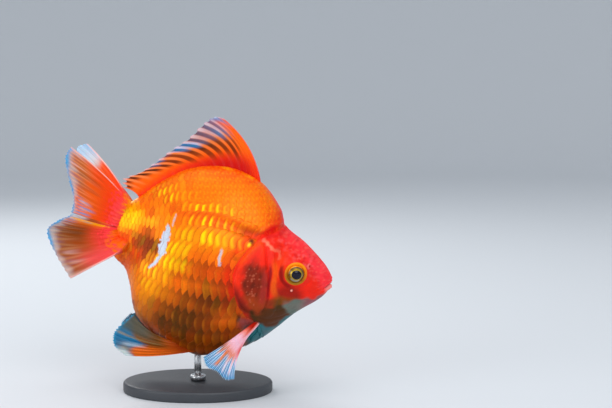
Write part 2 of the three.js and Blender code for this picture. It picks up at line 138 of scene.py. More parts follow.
PELVIC_RAYS = [
    [(46.0, -7.4, -41.6), (30.0, -10.0, -48.2), (15.8, -11.6, -51.6)],
    [(44.6, -7.6, -41.4), (28.0, -10.4, -46.6), (10.8, -12.2, -49.2)],
    [(43.0, -7.8, -41.2), (26.6, -10.6, -45.0), (9.0, -12.2, -45.0)],
    [(41.4, -8.0, -41.0), (26.0, -10.6, -43.2), (9.8, -11.8, -41.0)],
    [(39.8, -8.2, -40.6), (25.8, -11.2, -39.4), (14.9, -12.0, -33.4)],
]
ANAL_RAYS = [
    [(32.0, -2.6, -41.8), (21.5, -4.2, -43.8), (11.0, -5.6, -42.8)],
    [(29.4, -2.6, -41.0), (20.6, -4.2, -42.2), (10.2, -5.8, -39.6)],
    [(26.8, -2.6, -40.0), (19.8, -4.2, -40.8), (11.6, -5.6, -36.6)],
]

# ---- numbers and curves -------------------------------------------------------------------------


def smooth(low, high, value):
    """0 below low, 1 above high, and an S curve between, also with low above high."""
    x = np.clip((value - low) / (high - low), 0.0, 1.0)
    return x * x * (3.0 - 2.0 * x)


def bump(centre, width, value):
    """A round hill of height 1 over centre, nearly gone at 2 widths."""
    return np.exp(-(((value - centre) / width) ** 2))


def mottle(*coordinates):
    """Smooth uneven values around 0, about -1 to 1, from sums of slanted waves."""
    total = 0.0
    for k in range(5):
        angle = 1.3 + 2.4 * k
        phase = sum(c * math.cos(angle + 1.9 * i) for i, c in enumerate(coordinates))
        total = total + np.sin(phase * (1.0 + 0.37 * k) + 5.1 * k)
    return total / 3.0


def spline(points, t, closed_ends=True):
    """Even Catmull-Rom curve through rows of points, t from 0 to the last row's index.

    closed_ends repeats the end rows as a flat plane curve does; otherwise they are drawn on.
    """
    points = np.asarray(points, float)
    if closed_ends:
        padded = np.vstack([points[:1], points, points[-1:]])
    else:
        padded = np.vstack([2 * points[0] - points[1], points, 2 * points[-1] - points[-2]])
    t = np.clip(np.asarray(t, float), 0, len(points) - 1)
    i = np.minimum(t.astype(int), len(points) - 2)
    w = (t - i)[..., None]
    p0, p1, p2, p3 = (padded[i + k] for k in range(4))
    v0, v1 = (p2 - p0) / 2, (p3 - p1) / 2
    return ((2 * p1 - 2 * p2 + v0 + v1) * w ** 3 + (3 * p2 - 3 * p1 - 2 * v0 - v1) * w ** 2
            + v0 * w + p1)


def segment_distance(a, b, x, z):
    """Distance to the straight line from a to b, and how far along it the nearest point is."""
    edge = b - a
    along = np.clip(((x - a[0]) * edge[0] + (z - a[1]) * edge[1]) / (edge @ edge), 0, 1)
    return np.hypot(x - a[0] - along * edge[0], z - a[1] - along * edge[1]), along


def line_distance(line, x, z):
    """Distance to an open side line, and how far along it the nearest point is, 0 to 1."""
    dense = spline(line, np.linspace(0, len(line) - 1, 12 * len(line)))
    nearest, share = np.full(np.shape(x), np.inf), np.zeros(np.shape(x))
    for k, (a, b) in enumerate(zip(dense[:-1], dense[1:])):
        distance, along = segment_distance(a, b, x, z)
        share = np.where(distance < nearest, (k + along) / (len(dense) - 1), share)
        nearest = np.minimum(nearest, distance)
    return nearest, share


def unit(vectors):
    """The same directions at length one."""
    return vectors / np.maximum(np.linalg.norm(vectors, axis=-1, keepdims=True), 1e-9)


def folded(share):
    """A share of the half girth that runs past the back or the belly, turned back at it."""
    return np.where(share < 0, -share, np.where(share > 1, 2 - share, share))


def blended(grid, row, column):
    """A grid's value at a place between its rows and columns."""
    i = np.minimum(row.astype(int), grid.shape[0] - 2)
    j = np.minimum(column.astype(int), grid.shape[1] - 2)
    a, b = row - i, column - j
    if grid.ndim == 3:
        a, b = a[..., None], b[..., None]
    return ((1 - a) * (1 - b) * grid[i, j] + a * (1 - b) * grid[i + 1, j]
            + (1 - a) * b * grid[i, j + 1] + a * b * grid[i + 1, j + 1])


# ---- the body's surface -------------------------------------------------------------------------

STEPS_PER_STATION = 80
RINGS = LAST * STEPS_PER_STATION + 1
ROUND = 361                                       # points from back to belly, evenly spaced


def body_grid():
    """Right half of the body: points[ring, round] from snout to stem and from back to belly."""
    t = np.linspace(0, LAST, RINGS)
    s = spline(STATIONS, t)
    top, bottom = s[:, 0:2], s[:, 2:4]
    half, widest, crest = np.maximum(s[:, 4], 0)[:, None], s[:, 5, None], s[:, 6, None]
    angle = np.linspace(0, math.pi, 541)[None, :]
    c = np.cos(angle)
    level = np.where(c > 0, widest + (1 - widest) * np.abs(c) ** crest,
                     widest - (1 + widest) * np.abs(c) ** BELLY_POWER)
    middle, up = (top + bottom) / 2, (top - bottom) / 2
    raw = np.stack([middle[:, 0:1] + up[:, 0:1] * level, -half * np.sin(angle),
                    middle[:, 1:2] + up[:, 1:2] * level], axis=-1)
    step = np.linalg.norm(np.diff(raw, axis=1), axis=-1)
    along = np.concatenate([np.zeros((RINGS, 1)), np.cumsum(step, axis=1)], axis=1)
    along /= np.maximum(along[:, -1:], 1e-9)
    even = np.linspace(0, 1, ROUND)
    points = np.empty((RINGS, ROUND, 3))
    for ring in range(RINGS):
        for axis in range(3):
            points[ring, :, axis] = np.interp(even, along[ring], raw[ring, :, axis])
    return points


def grid_normals(points):
    """Outward normals of the right half of the body."""
    normal = np.cross(np.gradient(points, axis=0), np.gradient(points, axis=1))
    normal[0], normal[-1] = (1, 0, 0), (-1, 0, 0)
    outward = np.sign((normal[..., 1] < 0) - 0.5)[..., None]
    return unit(normal * np.where(np.abs(normal[..., 1:2]) > 1e-9, outward, 1))


HUMP_CREASE = np.array([(64, 15.5), (58, 13.2), (50, 13.0), (40, 14.6), (28, 14.0), (20, 11.0)])
FLANK_RELIEF = [                                  # x, z, half-length, half-height, height
    (13.0, -5.0, 6.0, 8.0, -1.3),                 # hollow before the tail stem
    (27.0, -9.0, 8.0, 11.0, 0.5),                 # haunch of the belly behind it
    (58.5, -21.5, 4.0, 3.0, -0.5),                # pocket behind the pectoral fin
]


def muscled(points, normals):
    """The body with the crease under its hump and the hollow before its tail stem."""
    x, z = points[..., 0], points[..., 2]
    crease, share = line_distance(HUMP_CREASE, x, z)
    height = -0.75 * bump(0, 2.6, crease) * smooth(1.0, 0.35, share)
    for rx, rz, half_x, half_z, rise in FLANK_RELIEF:
        height = height + rise * np.exp(-((x - rx) / half_x) ** 2 - ((z - rz) / half_z) ** 2)
    return points + normals * (height * smooth(0.0, 3.0, -points[..., 1]))[..., None]


BODY = body_grid()
BODY = muscled(BODY, grid_normals(BODY))
BODY_NORMALS = grid_normals(BODY)


def on_body(grid, t, phi):
    """A grid's value at station t and share phi of the way from back to belly."""
    return blended(grid, np.clip(t, 0, LAST) * STEPS_PER_STATION, np.clip(phi, 0, 1) * (ROUND - 1))


def surface(t, phi, sign):
    """Points and outward normals; phi past the back or the belly goes on round the other side."""
    over = (phi < 0) | (phi > 1)
    phi = folded(phi)
    flip = np.where(over, -sign, sign)
    points, normals = on_body(BODY, t, phi), unit(on_body(BODY_NORMALS, t, phi))
    mirrored = np.stack([np.ones_like(flip), -flip, np.ones_like(flip)], axis=-1)
    return points * mirrored, normals * mirrored


# ---- setting things in place --------------------------------------------------------------------


def tipped(points):
    """Fish frame to level frame: nose-down, before it is lifted onto the stand."""
    c, s = math.cos(NOSE_DOWN), math.sin(NOSE_DOWN)
    x, y, z = points[..., 0], points[..., 1], points[..., 2]
    return np.stack([c * x + s * z, y, c * z - s * x], axis=-1)


def place_from_solids():
    """Where the fish frame's origin sits, from the box that the solids of the flesh fill."""
    corners = [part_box(node) for node in FLESH]
    low = np.min([np.array(lo) for lo, hi in corners], axis=0) / MM
    high = np.max([np.array(hi) for lo, hi in corners], axis=0) / MM
    own = tipped(BODY).reshape(-1, 3)
    shift = ((low + high) - (own.min(0) + own.max(0))) / 2
    return np.array((shift[0], 0.0, shift[2]))


PLACE = place_from_solids()


def to_world(points):
    """Points of the fish's own frame, tipped nose-down and set in place, in metres."""
    return (tipped(np.asarray(points, float)) + PLACE) * MM


def placed(name, data):
    """A new object of the scene that holds a mesh, a light or a camera."""
    thing = bpy.data.objects.new(name, data)
    bpy.context.scene.collection.objects.link(thing)
    return thing


def smooth_mesh(name, points, faces, finish):
    """A smooth-shaded mesh of one material, its points in metres."""
    mesh = bpy.data.meshes.new(name)
    mesh.from_pydata(points.tolist(), [], faces)
    mesh.polygons.foreach_set("use_smooth", np.ones(len(mesh.polygons), bool))
    mesh.materials.append(finish)
    return mesh


def add_object(name, vertices, faces, finish, node_names=(), colours=None,
               numbers=None, face_uv=None, in_fish_frame=True):
    """A mesh object in place, riding with the part, with its vertex colours and its OFBake map."""
    world = to_world(vertices) if in_fish_frame else np.asarray(vertices, float) * MM
    mesh = smooth_mesh(name, world, faces, finish)
    for label, values in (colours or {}).items():
        layer = mesh.color_attributes.new(label, "FLOAT_COLOR", "POINT")
        rgba = np.concatenate([values, np.ones((len(values), 1))], axis=1)
        layer.data.foreach_set("color", rgba.astype(np.float32).ravel())
    for label, values in (numbers or {}).items():
        layer = mesh.attributes.new(label, "FLOAT", "POINT")
        layer.data.foreach_set("value", np.asarray(values, np.float32).ravel())
    if face_uv is not None:
        layer = mesh.uv_layers.new(name="OFBake")
        layer.data.foreach_set("uv", np.asarray(face_uv, np.float32).ravel())
    thing = placed(name, mesh)
    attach(thing, "root")
    if node_names:
        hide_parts(*node_names)


def grid_faces(rows, columns, around=False):
    """Quads of a grid of vertices, row by row; around joins the last column to the first."""
    i, j = np.meshgrid(np.arange(rows - 1), np.arange(columns if around else columns - 1),
                       indexing="ij")
    k = (j + 1) % columns
    quads = np.stack([i * columns + j, i * columns + k, (i + 1) * columns + k,
                      (i + 1) * columns + j], axis=-1)
    return quads.reshape(-1, 4)


# ---- colours ------------------------------------------------------------------------------------


def linear(colour):
    """An sRGB hex colour as linear red, green and blue."""
    values = [int(colour[i:i + 2], 16) / 255 for i in (1, 3, 5)]
    return np.array([v / 12.92 if v <= 0.04045 else ((v + 0.055) / 1.055) ** 2.4 for v in values])


def plain(shape, colour):
    """One sRGB hex colour all over, to be painted on."""
    return np.broadcast_to(linear(colour), shape + (3,))


def tinted(base, colour, share):
    """base moved towards an sRGB hex colour by share."""
    return base + (linear(colour) - base) * np.clip(share, 0, 1)[..., None]


def layered(base, layers):
    """base under layers of sRGB hex colour and share, the first laid on first."""
    for colour, share in layers:
        base = tinted(base, colour, share)
    return base


def patched(base, patches, x, z, within=1.0):
    """base under ragged oval patches, each as strong as it says times within."""
    ragged = 0.16 * mottle(x * 0.6, z * 0.6)
    for px, pz, half_x, half_z, slant, colour, strength in patches:
        u, v = (x - px) / half_x, (z - pz - slant * (x - px)) / half_z
        share = strength * smooth(1.25, 0.25, np.sqrt(u * u + v * v) + ragged)
        base = tinted(base, colour, share * within)
    return base


def neck_x(z):
    """x of the line where the head's skin ends and the scales begin."""
    dense = spline(NECK_LINE, np.linspace(0, len(NECK_LINE) - 1, 200))
    return np.interp(-np.asarray(z), -dense[:, 1], dense[:, 0])


def outline_distance(outline, x, z):
    """Distance to a closed side outline, positive inside it."""
    count = len(outline)
    wrapped = np.vstack([outline[-1:], outline, outline[:2]])
    dense = spline(wrapped, np.linspace(1, count + 1, 8 * count + 1))[:-1]
    nearest = np.full(np.shape(x), np.inf)
    winding = np.zeros(np.shape(x))
    for a, b in zip(dense, np.roll(dense, -1, axis=0)):
        nearest = np.minimum(nearest, segment_distance(a, b, x, z)[0])
        edge = b - a
        crosses = (a[1] > z) != (b[1] > z)
        where = a[0] + (z - a[1]) * edge[0] / (edge[1] if abs(edge[1]) > 1e-9 else 1e-9)
        winding += np.where(crosses & (x < where), 1, 0)
    return np.where(winding % 2 == 1, nearest, -nearest)


# Patches of colour on the scaled body, painted shade and highlights among them: x, z, half-length,
# half-height, slant, colour, strength.
BODY_PATCHES = [
    (30, 38, 34, 8, -0.05, "#FF4A00", 0.7),      # redder along the dorsal fin's foot
    (45, 13.2, 12, 2.8, 0.03, "#DA4000", 0.75),  # painted red shade in the crease under the hump
    (63, 21, 5, 9, 0.0, "#FF4A08", 0.6),         # front of the hump
    (30, 14.5, 16, 3.2, 0.05, "#EA4400", 0.75),  # painted shade along the back's lower edge
    (36, 5, 15, 5, 0.03, "#FF9A00", 0.8),        # golden band over the flank, partly a painted highlight where the flank bulges
    (26, -5, 7, 9, 0.5, "#FFA000", 0.85),        # golden bend behind it
    (19, -17, 9, 12, 0.4, "#FF9600", 0.95),      # rear of the belly
    (12.8, -21, 5, 9, 0.35, "#FF8606", 0.85),    # and its hind edge
    (19.5, -30.5, 6, 6.5, 0.4, "#D47A14", 0.85),
    (13.2, -4.5, 9.0, 9.0, 0.2, "#4A2600", 0.95),  # painted shade in the hollow before the tail stem, dark olive
    (9.8, -8.5, 3.5, 3, 0.0, "#F03C00", 0.75),     # red fleck in it
    (5, -13, 5, 5, 0.4, "#D8480A", 0.7),           # under the tail stem
    (1.5, -5.5, 6, 3.6, 0.2, "#FA4200", 0.9),
    (43, -7, 12, 5, -0.05, "#C84400", 0.75),    # red-orange flank
    (48, -17, 15, 7.5, 0.05, "#4E1E00", 0.95),  # dark bronze flank behind the gill cover, partly painted shade
    (37, -30, 17, 10, 0.1, "#483000", 0.95),    # olive under-belly, partly painted shade
    (53.5, -14, 5, 6, 0.0, "#4A1800", 0.6),
    (52.8, -23.0, 5.4, 4.4, 0.3, "#F06A08", 0.95),  # orange over the pectoral fin's root
    (56, -35, 7, 4, -0.4, "#8A5A1C", 0.7),          # edge of the pale breast
    (2.6, 5.0, 7.4, 6.4, 0.1, "#FFD000", 1.0),      # painted highlight on the tail stem, bright yellow
]
RIDGE_GLINTS = [                                  # bright edges at the dorsal fin's foot
    (37.4, 35.4, 3.2, 0.7, 0.0, "#FFBE08", 0.8),
    (46.6, 34.6, 2.6, 0.7, -0.1, "#FFBE08", 0.8),
]
# Smaller patches over those and over the red about the neck.
BODY_SPECKS = [
    (62.0, -23.6, 3.8, 4.0, 0.3, "#A41404", 0.9),   # dark red where the pectoral fin comes out
    (58.6, -22.0, 0.9, 2.8, 0.0, "#2A0C04", 0.95),  # painted shadow in the slit behind it
    (67, -29.5, 7, 6, -0.5, "#2E7478", 1.0),        # pale breast between the pectoral fins, painted dark teal as painted shade
    (53.6, 13.2, 5.6, 2.0, 0.12, "#B02C00", 0.85),  # painted brown shade at the end of the hump's crease
    (61.6, 15.2, 3.6, 2.3, 0.75, "#E40000", 1.0),   # bright red fold at the nape
]
# Specks on the right flank only, laid over skin and scales alike.
FLANK_SPECKS = [
    (55.7, 9.8, 1.5, 1.3, 0.0, "#5A1C02", 0.95),  # dark speck by the hump's crease
    (55.2, 8.2, 0.8, 1.1, 0.0, "#FFC820", 1.0),   # and the painted glint under it, bright yellow
    (51.2, 1.4, 1.7, 1.2, 0.0, "#A84A00", 0.6),
]
SCAR = np.array([(20.1, 7.4), (20.9, 5.4), (20.9, 2.6), (20.6, 0.0), (20.6, -2.6), (20.9, -4.6),
                 (20.3, -7.0), (19.0, -9.8), (17.3, -12.0)])
SCAR_WIDTH = ([0, 0.1, 0.25, 0.4, 0.55, 0.62, 0.7, 0.85, 1.0],
              [0.1, 0.9, 1.75, 1.45, 1.95, 1.5, 0.6, 0.7, 0.45])
SCAR_TIP = np.array([(22.5, 11.8), (22.3, 9.4), (22.4, 7.4)])
FLECK = np.array([(44.9, 3.2), (45.1, 1.8), (44.9, 0.2), (45.6, -2.6)])
# A thin painted highlight along the crease on the tail stem.
SIDE_LINE = np.array([(7.5, 6.0), (12.0, 6.2), (18.5, 7.0)])


def body_marking(x, y, z):
    """Colour of the scaled body at a point, with its painted shade and highlights, the same for
    skin and scales.
    """
    base = layered(plain(np.shape(x), "#FF7400"), [
        ("#F26A02", smooth(6, -4, z) * 0.8),
        # darker bronze towards the belly, partly its own colour and partly painted shade
        ("#8A4002", smooth(-12, -30, z) * 0.8),
    ])
    base = patched(base, BODY_PATCHES, x, z)
    base = patched(base, RIDGE_GLINTS, x, z, smooth(5.5, 2.5, np.abs(y)))
    grain = mottle(x * 2.3 + 0.7 * z, z * 2.5)
    fleshy = 0.45 + 0.55 * smooth(8, 16, z)
    line, share = line_distance(SIDE_LINE, x, z)
    from_neck = neck_x(z) - x + 0.9 * mottle(x * 0.5, z * 0.5)
    red = smooth(8.5, 0.5, from_neck) * smooth(-22, -10, z) * smooth(20, 13, z)
    nape = smooth(7.5, 0.5, from_neck) * smooth(9, 14, z)
    base = layered(base, [
        ("#FFA200", 0.42 * fleshy * smooth(0.1, 0.9, grain) * smooth(0, 8, z)),
        ("#F04600", 0.34 * fleshy * smooth(-0.1, -0.9, grain)),
        # painted highlight along the crease on the tail stem
        ("#FFA808", 0.8 * smooth(0.9, 0.3, line) * smooth(1.0, 0.6, share)),
        ("#F21C02", 0.95 * red),
        ("#E60E02", 0.9 * nape),
        ("#7A1E02", 0.5 * bump(3.5, 2.2, from_neck) * bump(-16, 5, z)),
    ])
    base = patched(base, BODY_SPECKS, x, z)
    # A painted rim highlight, pink, along the top of the hump's front where it turns away.
    ridge = smooth(4.0, 1.0, np.abs(y)) * smooth(52, 60, x) * smooth(12, 17, z)
    ragged = mottle(x * 0.8, z * 1.9) + 0.4 * mottle(x * 1.6, z * 3.1)
    pink = smooth(-0.6, -3.4, x + ragged + 2.4 * smooth(-0.5, -4.5, z))
    return layered(base, [
        ("#FF4052", 0.8 * ridge),
        # the breast's pale skin, painted teal as painted shade
        ("#1C7078", 0.95 * breast_share(x, z) * smooth(62.5, 66, x)),
        ("#FF3444", 0.9 * pink),
    ])


def scarred(base, x, z, sign):
    """Adds the specks, one of them a painted glint, and the silver scar with its fleck, on the
    right flank only.
    """
    right = np.where(np.asarray(sign) < 0, 1.0, 0.0)
    base = patched(base, FLANK_SPECKS, x, z, right)
    return tinted(base, "#C0C8D6", scar_share(x, z) * right)


def scar_share(x, z):
    """Share of silver: the long scar, its faint upper tip and the fleck ahead of it."""
    distance, share = line_distance(SCAR, x, z)
    width = np.interp(share, *SCAR_WIDTH) * (1 + 0.3 * mottle(x * 1.9, z * 2.3))
    scar = smooth(width + 0.15, width - 0.15, distance)
    ragged = 0.15 * mottle(x * 2, z * 2)
    tip = smooth(0.55, 0.2, line_distance(SCAR_TIP, x, z)[0] + ragged)
    fleck = smooth(0.75, 0.35, line_distance(FLECK, x, z)[0] + ragged)
    return np.maximum(np.maximum(scar, 0.6 * tip), 0.75 * fleck)


HEAD_PATCHES = [
    (74, 14, 14, 6, -0.62, "#FF3038", 0.85),  # pinkish crown
    (86, 5, 7, 6, -0.7, "#FF3440", 0.8),
    (91, 0, 4.5, 4, 0.0, "#FF2C3A", 0.85),  # snout
    (70, 2, 4, 7, -0.2, "#FF3A00", 0.8),    # orange-red stripe behind the eye
    (69.8, -7, 2.4, 5, -0.3, "#E23A00", 0.8),
    (76, -7.6, 7.5, 4.6, -0.1, "#9C1400", 0.9),    # cheek
    (71.5, -1.2, 1.6, 4.5, -0.9, "#A60C04", 0.6),  # dark red rim under the eye
    (84, -5.5, 5, 3.4, -0.2, "#F62206", 0.7),
    (75.0, -10.9, 7.0, 1.9, 0.12, "#8A4000", 0.95),
    (73.0, -13.6, 5.0, 3.2, -0.1, "#6A4000", 0.95),
    (68.6, -13.8, 3.4, 2.4, 0.3, "#8E2C0C", 0.9),    # dull red below the stripe
    (60.6, -18.0, 5.4, 3.8, -0.4, "#6E1E02", 0.95),  # smoky foot of the gill cover
    (63.5, -22.5, 4, 3, 0.0, "#8C1606", 0.85),       # dark red over the pectoral fin's root
    (60, 4, 6, 7, 0.4, "#FF2612", 0.6),
]


def freckles(x, z, centre, spread, count, size, seed):
    """Share of cover of round spots strewn about a centre, none quite the same size."""
    random = np.random.default_rng(seed)
    cover = np.zeros(np.shape(x))
    for fx, fz, wide in random.normal(size=(count, 3)):
        near = np.hypot(x - centre[0] - spread[0] * fx, z - centre[1] - spread[1] * fz)
        radius = size * (1 + 0.25 * np.clip(wide, -2, 2))
        cover = np.maximum(cover, smooth(1.3 * radius, 0.5 * radius, near))
    return cover


THROAT = np.array([(74.9, -13.4), (77.2, -10.9), (82.7, -9.0), (86.2, -8.6), (88.6, -6.8),
                   (92.4, -3.4), (94.0, -5.0), (88.0, -16.0), (81.5, -18.0), (77.2, -16.2)])
# The skin under the head between throat and breast, orange, painted dark olive as painted shade.
SHADED_UNDER_HEAD = np.array([(63.0, -18.0), (66.0, -15.6), (70.5, -14.0), (75.0, -13.2), (79.6, -15.0),
                  (85.0, -17.4), (80.5, -23.0), (75.5, -24.6), (71.0, -25.0), (64.5, -23.6)])
BREAST = np.array([(64.5, -23.2), (68.6, -22.9), (72.8, -24.2), (75.2, -21.6), (78.0, -18.2),
                   (84.0, -16.4), (82.0, -28.0), (68.0, -42.0), (54.0, -42.0), (59.0, -28.0)])


def head_marking(x, y, z):
    """Colour of the bare skin of the head at a point."""
    crown = smooth(-2, 5, z + 0.62 * (x - 82))
    blotch = mottle(x * 1.1, z * 1.3 + y * 0.4)
    base = layered(plain(np.shape(x), "#F42208"), [
        ("#FF5E5A", 0.6 * crown * smooth(0.1, 0.9, blotch)),
        ("#D8060A", 0.7 * crown * smooth(-0.3, -0.9, blotch)),
    ])
    base = patched(base, HEAD_PATCHES, x, z)
    red = freckles(x, z, (76, 7.5), (7, 4.5), 60, 0.6, 31) * smooth(-1, 3, np.abs(y))
    pale = freckles(x, z, (78, 8), (7, 4), 26, 0.7, 32)
    bent_x, bent_z = x + 1.3 * mottle(x * 0.5, z * 0.7), z + 1.1 * mottle(z * 0.6, x * 0.4 + 2)
    fine = mottle(bent_x * 1.5, bent_z * 2.1)
    nape = smooth(-0.5, 2.5, neck_x(z) + 3.2 - x) * smooth(9, 13, z)
    olive = outline_distance(SHADED_UNDER_HEAD, x, z) + 0.7 * mottle(x * 0.7, z * 0.8)
    throat = outline_distance(THROAT, x, z) + 0.6 * mottle(x * 0.8, z * 0.9)
    base = layered(base, [
        ("#D80A0C", 0.35 * crown * red),
        ("#FF7076", 0.28 * crown * pale),
        ("#FF6C58", 0.3 * crown * smooth(0.1, 1.0, fine)),
        ("#DC0806", 0.75 * nape),
        # painted shade under the head, dark olive
        ("#402A04", 0.95 * smooth(-0.9, 1.3, olive)),
        # the throat's pale skin, painted grey-green as painted shade
        ("#64746A", 0.95 * smooth(-1.0, 1.1, throat)),
        ("#A04858", 0.85 * smooth(-0.4, 0.9, throat) * smooth(80.5, 86, x)),
        # the breast's pale skin, painted teal as painted shade
        ("#1C7078", 0.95 * breast_share(x, z)),
    ])
    return face_marking(gill_marking(base, x, z), x, z)


def breast_share(x, z):
    """Share of the breast ahead of the pectoral fins, its pale skin painted blue-grey as painted
    shade.
    """
    breast = outline_distance(BREAST, x, z) + 0.4 * mottle(x, z)
    return smooth(-0.6, 1.0, breast)


def gill_marking(base, x, z):
    """The gill cover's smoky window, the stripes of the cheek and the cover's crimson edges."""
    inside = outline_distance(GILL_COVER, x, z)
    uneven = 0.7 * mottle(x * 0.9, z * 0.8)
    reach = inside + uneven + 2.2 * smooth(61.0, 64.5, x)
    window = smooth(1.0, 4.4, reach) * smooth(7.0, -2.0, z + uneven)
    flecks = freckles(x, z, (60.2, -8.0), (3.0, 4.8), 40, 0.34, 33)
    base = layered(base, [
        ("#741F02", 0.92 * window),
        ("#481402", 0.45 * window * smooth(0.0, 0.9, mottle(x * 1.3, z * 0.7))),
        ("#C04A0C", 0.5 * window * smooth(-9, -15, z)),
        ("#D87050", 0.4 * window * flecks),
    ])
    for line, width, colour, strength in CHEEK_LINES:
        distance, share = line_distance(line, x, z)
        ends = smooth(0.0, 0.15, share) * smooth(1.0, 0.8, share)
        soft = smooth(1.6 * width, 0.3 * width, distance + 0.3 * width * uneven)
        base = tinted(base, colour, strength * soft * (0.25 + 0.75 * ends))
    rear = bump(0.4, 1.7, inside) * smooth(62, 57, x)
    return layered(base, [
        ("#EE2E04", 0.8 * rear * smooth(-14, -9, z)),
        ("#FF5200", 0.75 * bump(0.2, 1.5, inside) * smooth(63, 58, x) * smooth(-3, 3, z)),
        ("#6E1002", 0.9 * rear * smooth(-7, -13, z)),
    ])


def face_marking(base, x, z):
    """The lower lip painted pale as a painted highlight, the canal behind the eye, the mouth's line
    in painted shade, the nostril with painted shade in its opening, and the speck.
    """
    height = mouth_height(x, z)
    low_lip = smooth(0.1, -0.3, height) * smooth(-2.2, -1.2, height)
    gape = bump(0.0, 0.22, height) * smooth(90.0, 91.2, x)
    canal, share = line_distance(CANAL, x, z)
    worm = smooth(1.0, 0.2, canal + 0.35 * mottle(x * 1.7, z * 1.5))
    nostril = np.hypot(x - NOSTRIL[0], z - NOSTRIL[2])
    speck = np.hypot(x - CHEEK_SPECK[0], z - CHEEK_SPECK[1])
    return layered(base, [
        # the lower lip painted pale, a painted highlight
        ("#FF988E", 0.8 * low_lip * smooth(89.6, 91.2, x)),
        ("#FF8664", worm * (0.35 + 0.5 * bump(0.4, 0.22, share))),
        # painted shade in the mouth's line
        ("#5A0A10", 0.75 * gape),
        ("#FF8078", 0.7 * bump(0.9, 0.4, nostril) * smooth(0.5, -0.6, x - NOSTRIL[0])),
        # painted shade in the nostril's front opening
        ("#9A0C10", 0.7 * smooth(0.6, 0.25, nostril)),
        ("#8E1004", 0.6 * smooth(1.3, 0.7, speck)),
        ("#FFB4A4", 0.95 * smooth(0.6, 0.25, speck)),
    ])


CHEEK_SPECK = (76.9, -6.3)                        # a white speck under the eye
# Soft stripes on the cheek: side line, half-width, colour, strength.
CHEEK_LINES = [
    (np.array([(64.2, -0.4), (65.4, -5.4), (66.0, -10.9), (66.0, -14.6)]), 1.3, "#A82A20", 0.75),
    (np.array([(66.8, 4.0), (68.4, 0.0), (68.8, -4.0), (69.6, -7.5), (71.6, -10.2)]), 1.1,
     "#F46404", 0.55),
    (np.array([(65.6, 2.4), (66.9, -1.9), (67.2, -5.9), (67.8, -9.1), (68.3, -12.6)]), 0.6,
     "#98020E", 0.9),
    (np.array([(70.4, 3.4), (70.8, 0.2), (72.2, -2.8), (74.6, -4.5), (77.0, -5.0)]), 0.8,
     "#900602", 0.85),
]
CANAL = np.array([(60.0, 12.6), (61.0, 11.2), (62.6, 10.1), (65.2, 8.7), (67.4, 8.2), (68.7, 5.8)])


def mouth_height(x, z):
    """Height over the mouth's line in side view, positive above it."""
    along = unit(MOUTH_FRONT - MOUTH_CORNER)
    return -(x - MOUTH_CORNER[0]) * along[1] + (z - MOUTH_CORNER[1]) * along[0]


def marking(points, sign):
    """Colour over the whole fish, head skin running into the scaled body at the neck line."""
    x, y, z = points[..., 0], points[..., 1], points[..., 2]
    ahead = smooth(-0.8, 0.8, x - neck_x(z) + 0.4 * mottle(x, z))[..., None]
    body = scarred(body_marking(x, y, z), x, z, sign)
    return body * (1 - ahead) + head_marking(x, y, z) * ahead


# ---- the skin -----------------------------------------------------------------------------------

HEAD_RINGS, TRUNK_RINGS, SKIN_ROUND = 244, 60, 160
NECK_STATION = 6.3


def skin_parameters():
    """Stations and shares of the half girth, closer together on the head and round the eyes."""
    t = np.concatenate([np.linspace(0.06, NECK_STATION, HEAD_RINGS, endpoint=False),
                        np.linspace(NECK_STATION, LAST - 0.06, TRUNK_RINGS)])
    even = np.linspace(0, 1, SKIN_ROUND)
    phi = even + 0.08 * np.sin(2 * math.pi * even)
    return t, phi / phi[-1]


def orbit_lift(points):
    """Raises a round rim for the eye and sinks the skin behind the eyeball inside it."""
    side = np.where(points[..., 1] < 0, -1.0, 1.0)[..., None]
    mirror = np.concatenate([np.ones_like(side), side, np.ones_like(side)], axis=-1)
    aim = unit(EYE_AIM * mirror)
    offset = points - EYE * mirror
    height = np.sum(offset * aim, axis=-1)
    radius = np.linalg.norm(offset - height[..., None] * aim, axis=-1)
    outer_side = height > -3
    near = smooth(MOUND_FOOT, MOUND_TOP, radius) * outer_side
    slope = 0.22 * np.maximum(radius - MOUND_TOP, 0)
    rim = MOUND_HEIGHT - slope - 0.5 * smooth(4.3, 3.8, radius)
    lifted = height + (rim - height) * near
    sunk = smooth(ORBIT_RIM, ORBIT_RIM - 0.4, radius) * outer_side
    lifted = lifted + (SOCKET_HEIGHT - lifted) * sunk
    return points + (lifted - height)[..., None] * aim


def sculpt(points, normals):
    """The skin in relief: sunk by the coat's depth under the scales, folded on the head."""
    x, y, z = points[..., 0], np.abs(points[..., 1]), points[..., 2]
    scaled = smooth(-0.3, 0.8, neck_x(z) - x)
    inside = outline_distance(GILL_COVER, x, z)
    plate = smooth(-0.15, 0.45, inside)
    under_eye = np.hypot(x - EYE[0], z - EYE[2])
    eye_bag = -0.16 * bump(7.2, 0.5, under_eye) * smooth(1, -3, z) * (1 - plate)
    grain = 0.035 * mottle(x * 3.1, y * 3.3, z * 2.9) * (1 - scaled)
    height = (gill_relief(x, z, inside, plate) + mouth_relief(x, z) + nostril_relief(points)
              + fold_relief(x, z, scaled) + eye_bag + grain - COAT_DEPTH * scaled)
    return points + normals * height[..., None]


def gill_relief(x, z, inside, plate):
    """Height of the gill cover's bony plate, its groove and ribs, and the cheek ahead of it."""
    front_soft = smooth(60, 68, x)
    raised = plate * (0.62 - 0.15 * front_soft)
    groove = (-0.35 * bump(-0.25, 0.35, inside) * smooth(-24, -12, z)
              - 0.28 * bump(0.0, 0.55, inside) * front_soft)
    cheek = outline_distance(GILL_COVER + CHEEK_STEP, x, z)
    cheek_edge = 0.28 * smooth(-0.4, 0.5, cheek) * (1 - plate) * smooth(63, 68, x)
    ribs = 0.05 * plate * np.sin(np.arctan2(z - 8, x - 61) * 46) * smooth(3, 9, 8 - z)
    return raised + groove + cheek_edge + ribs


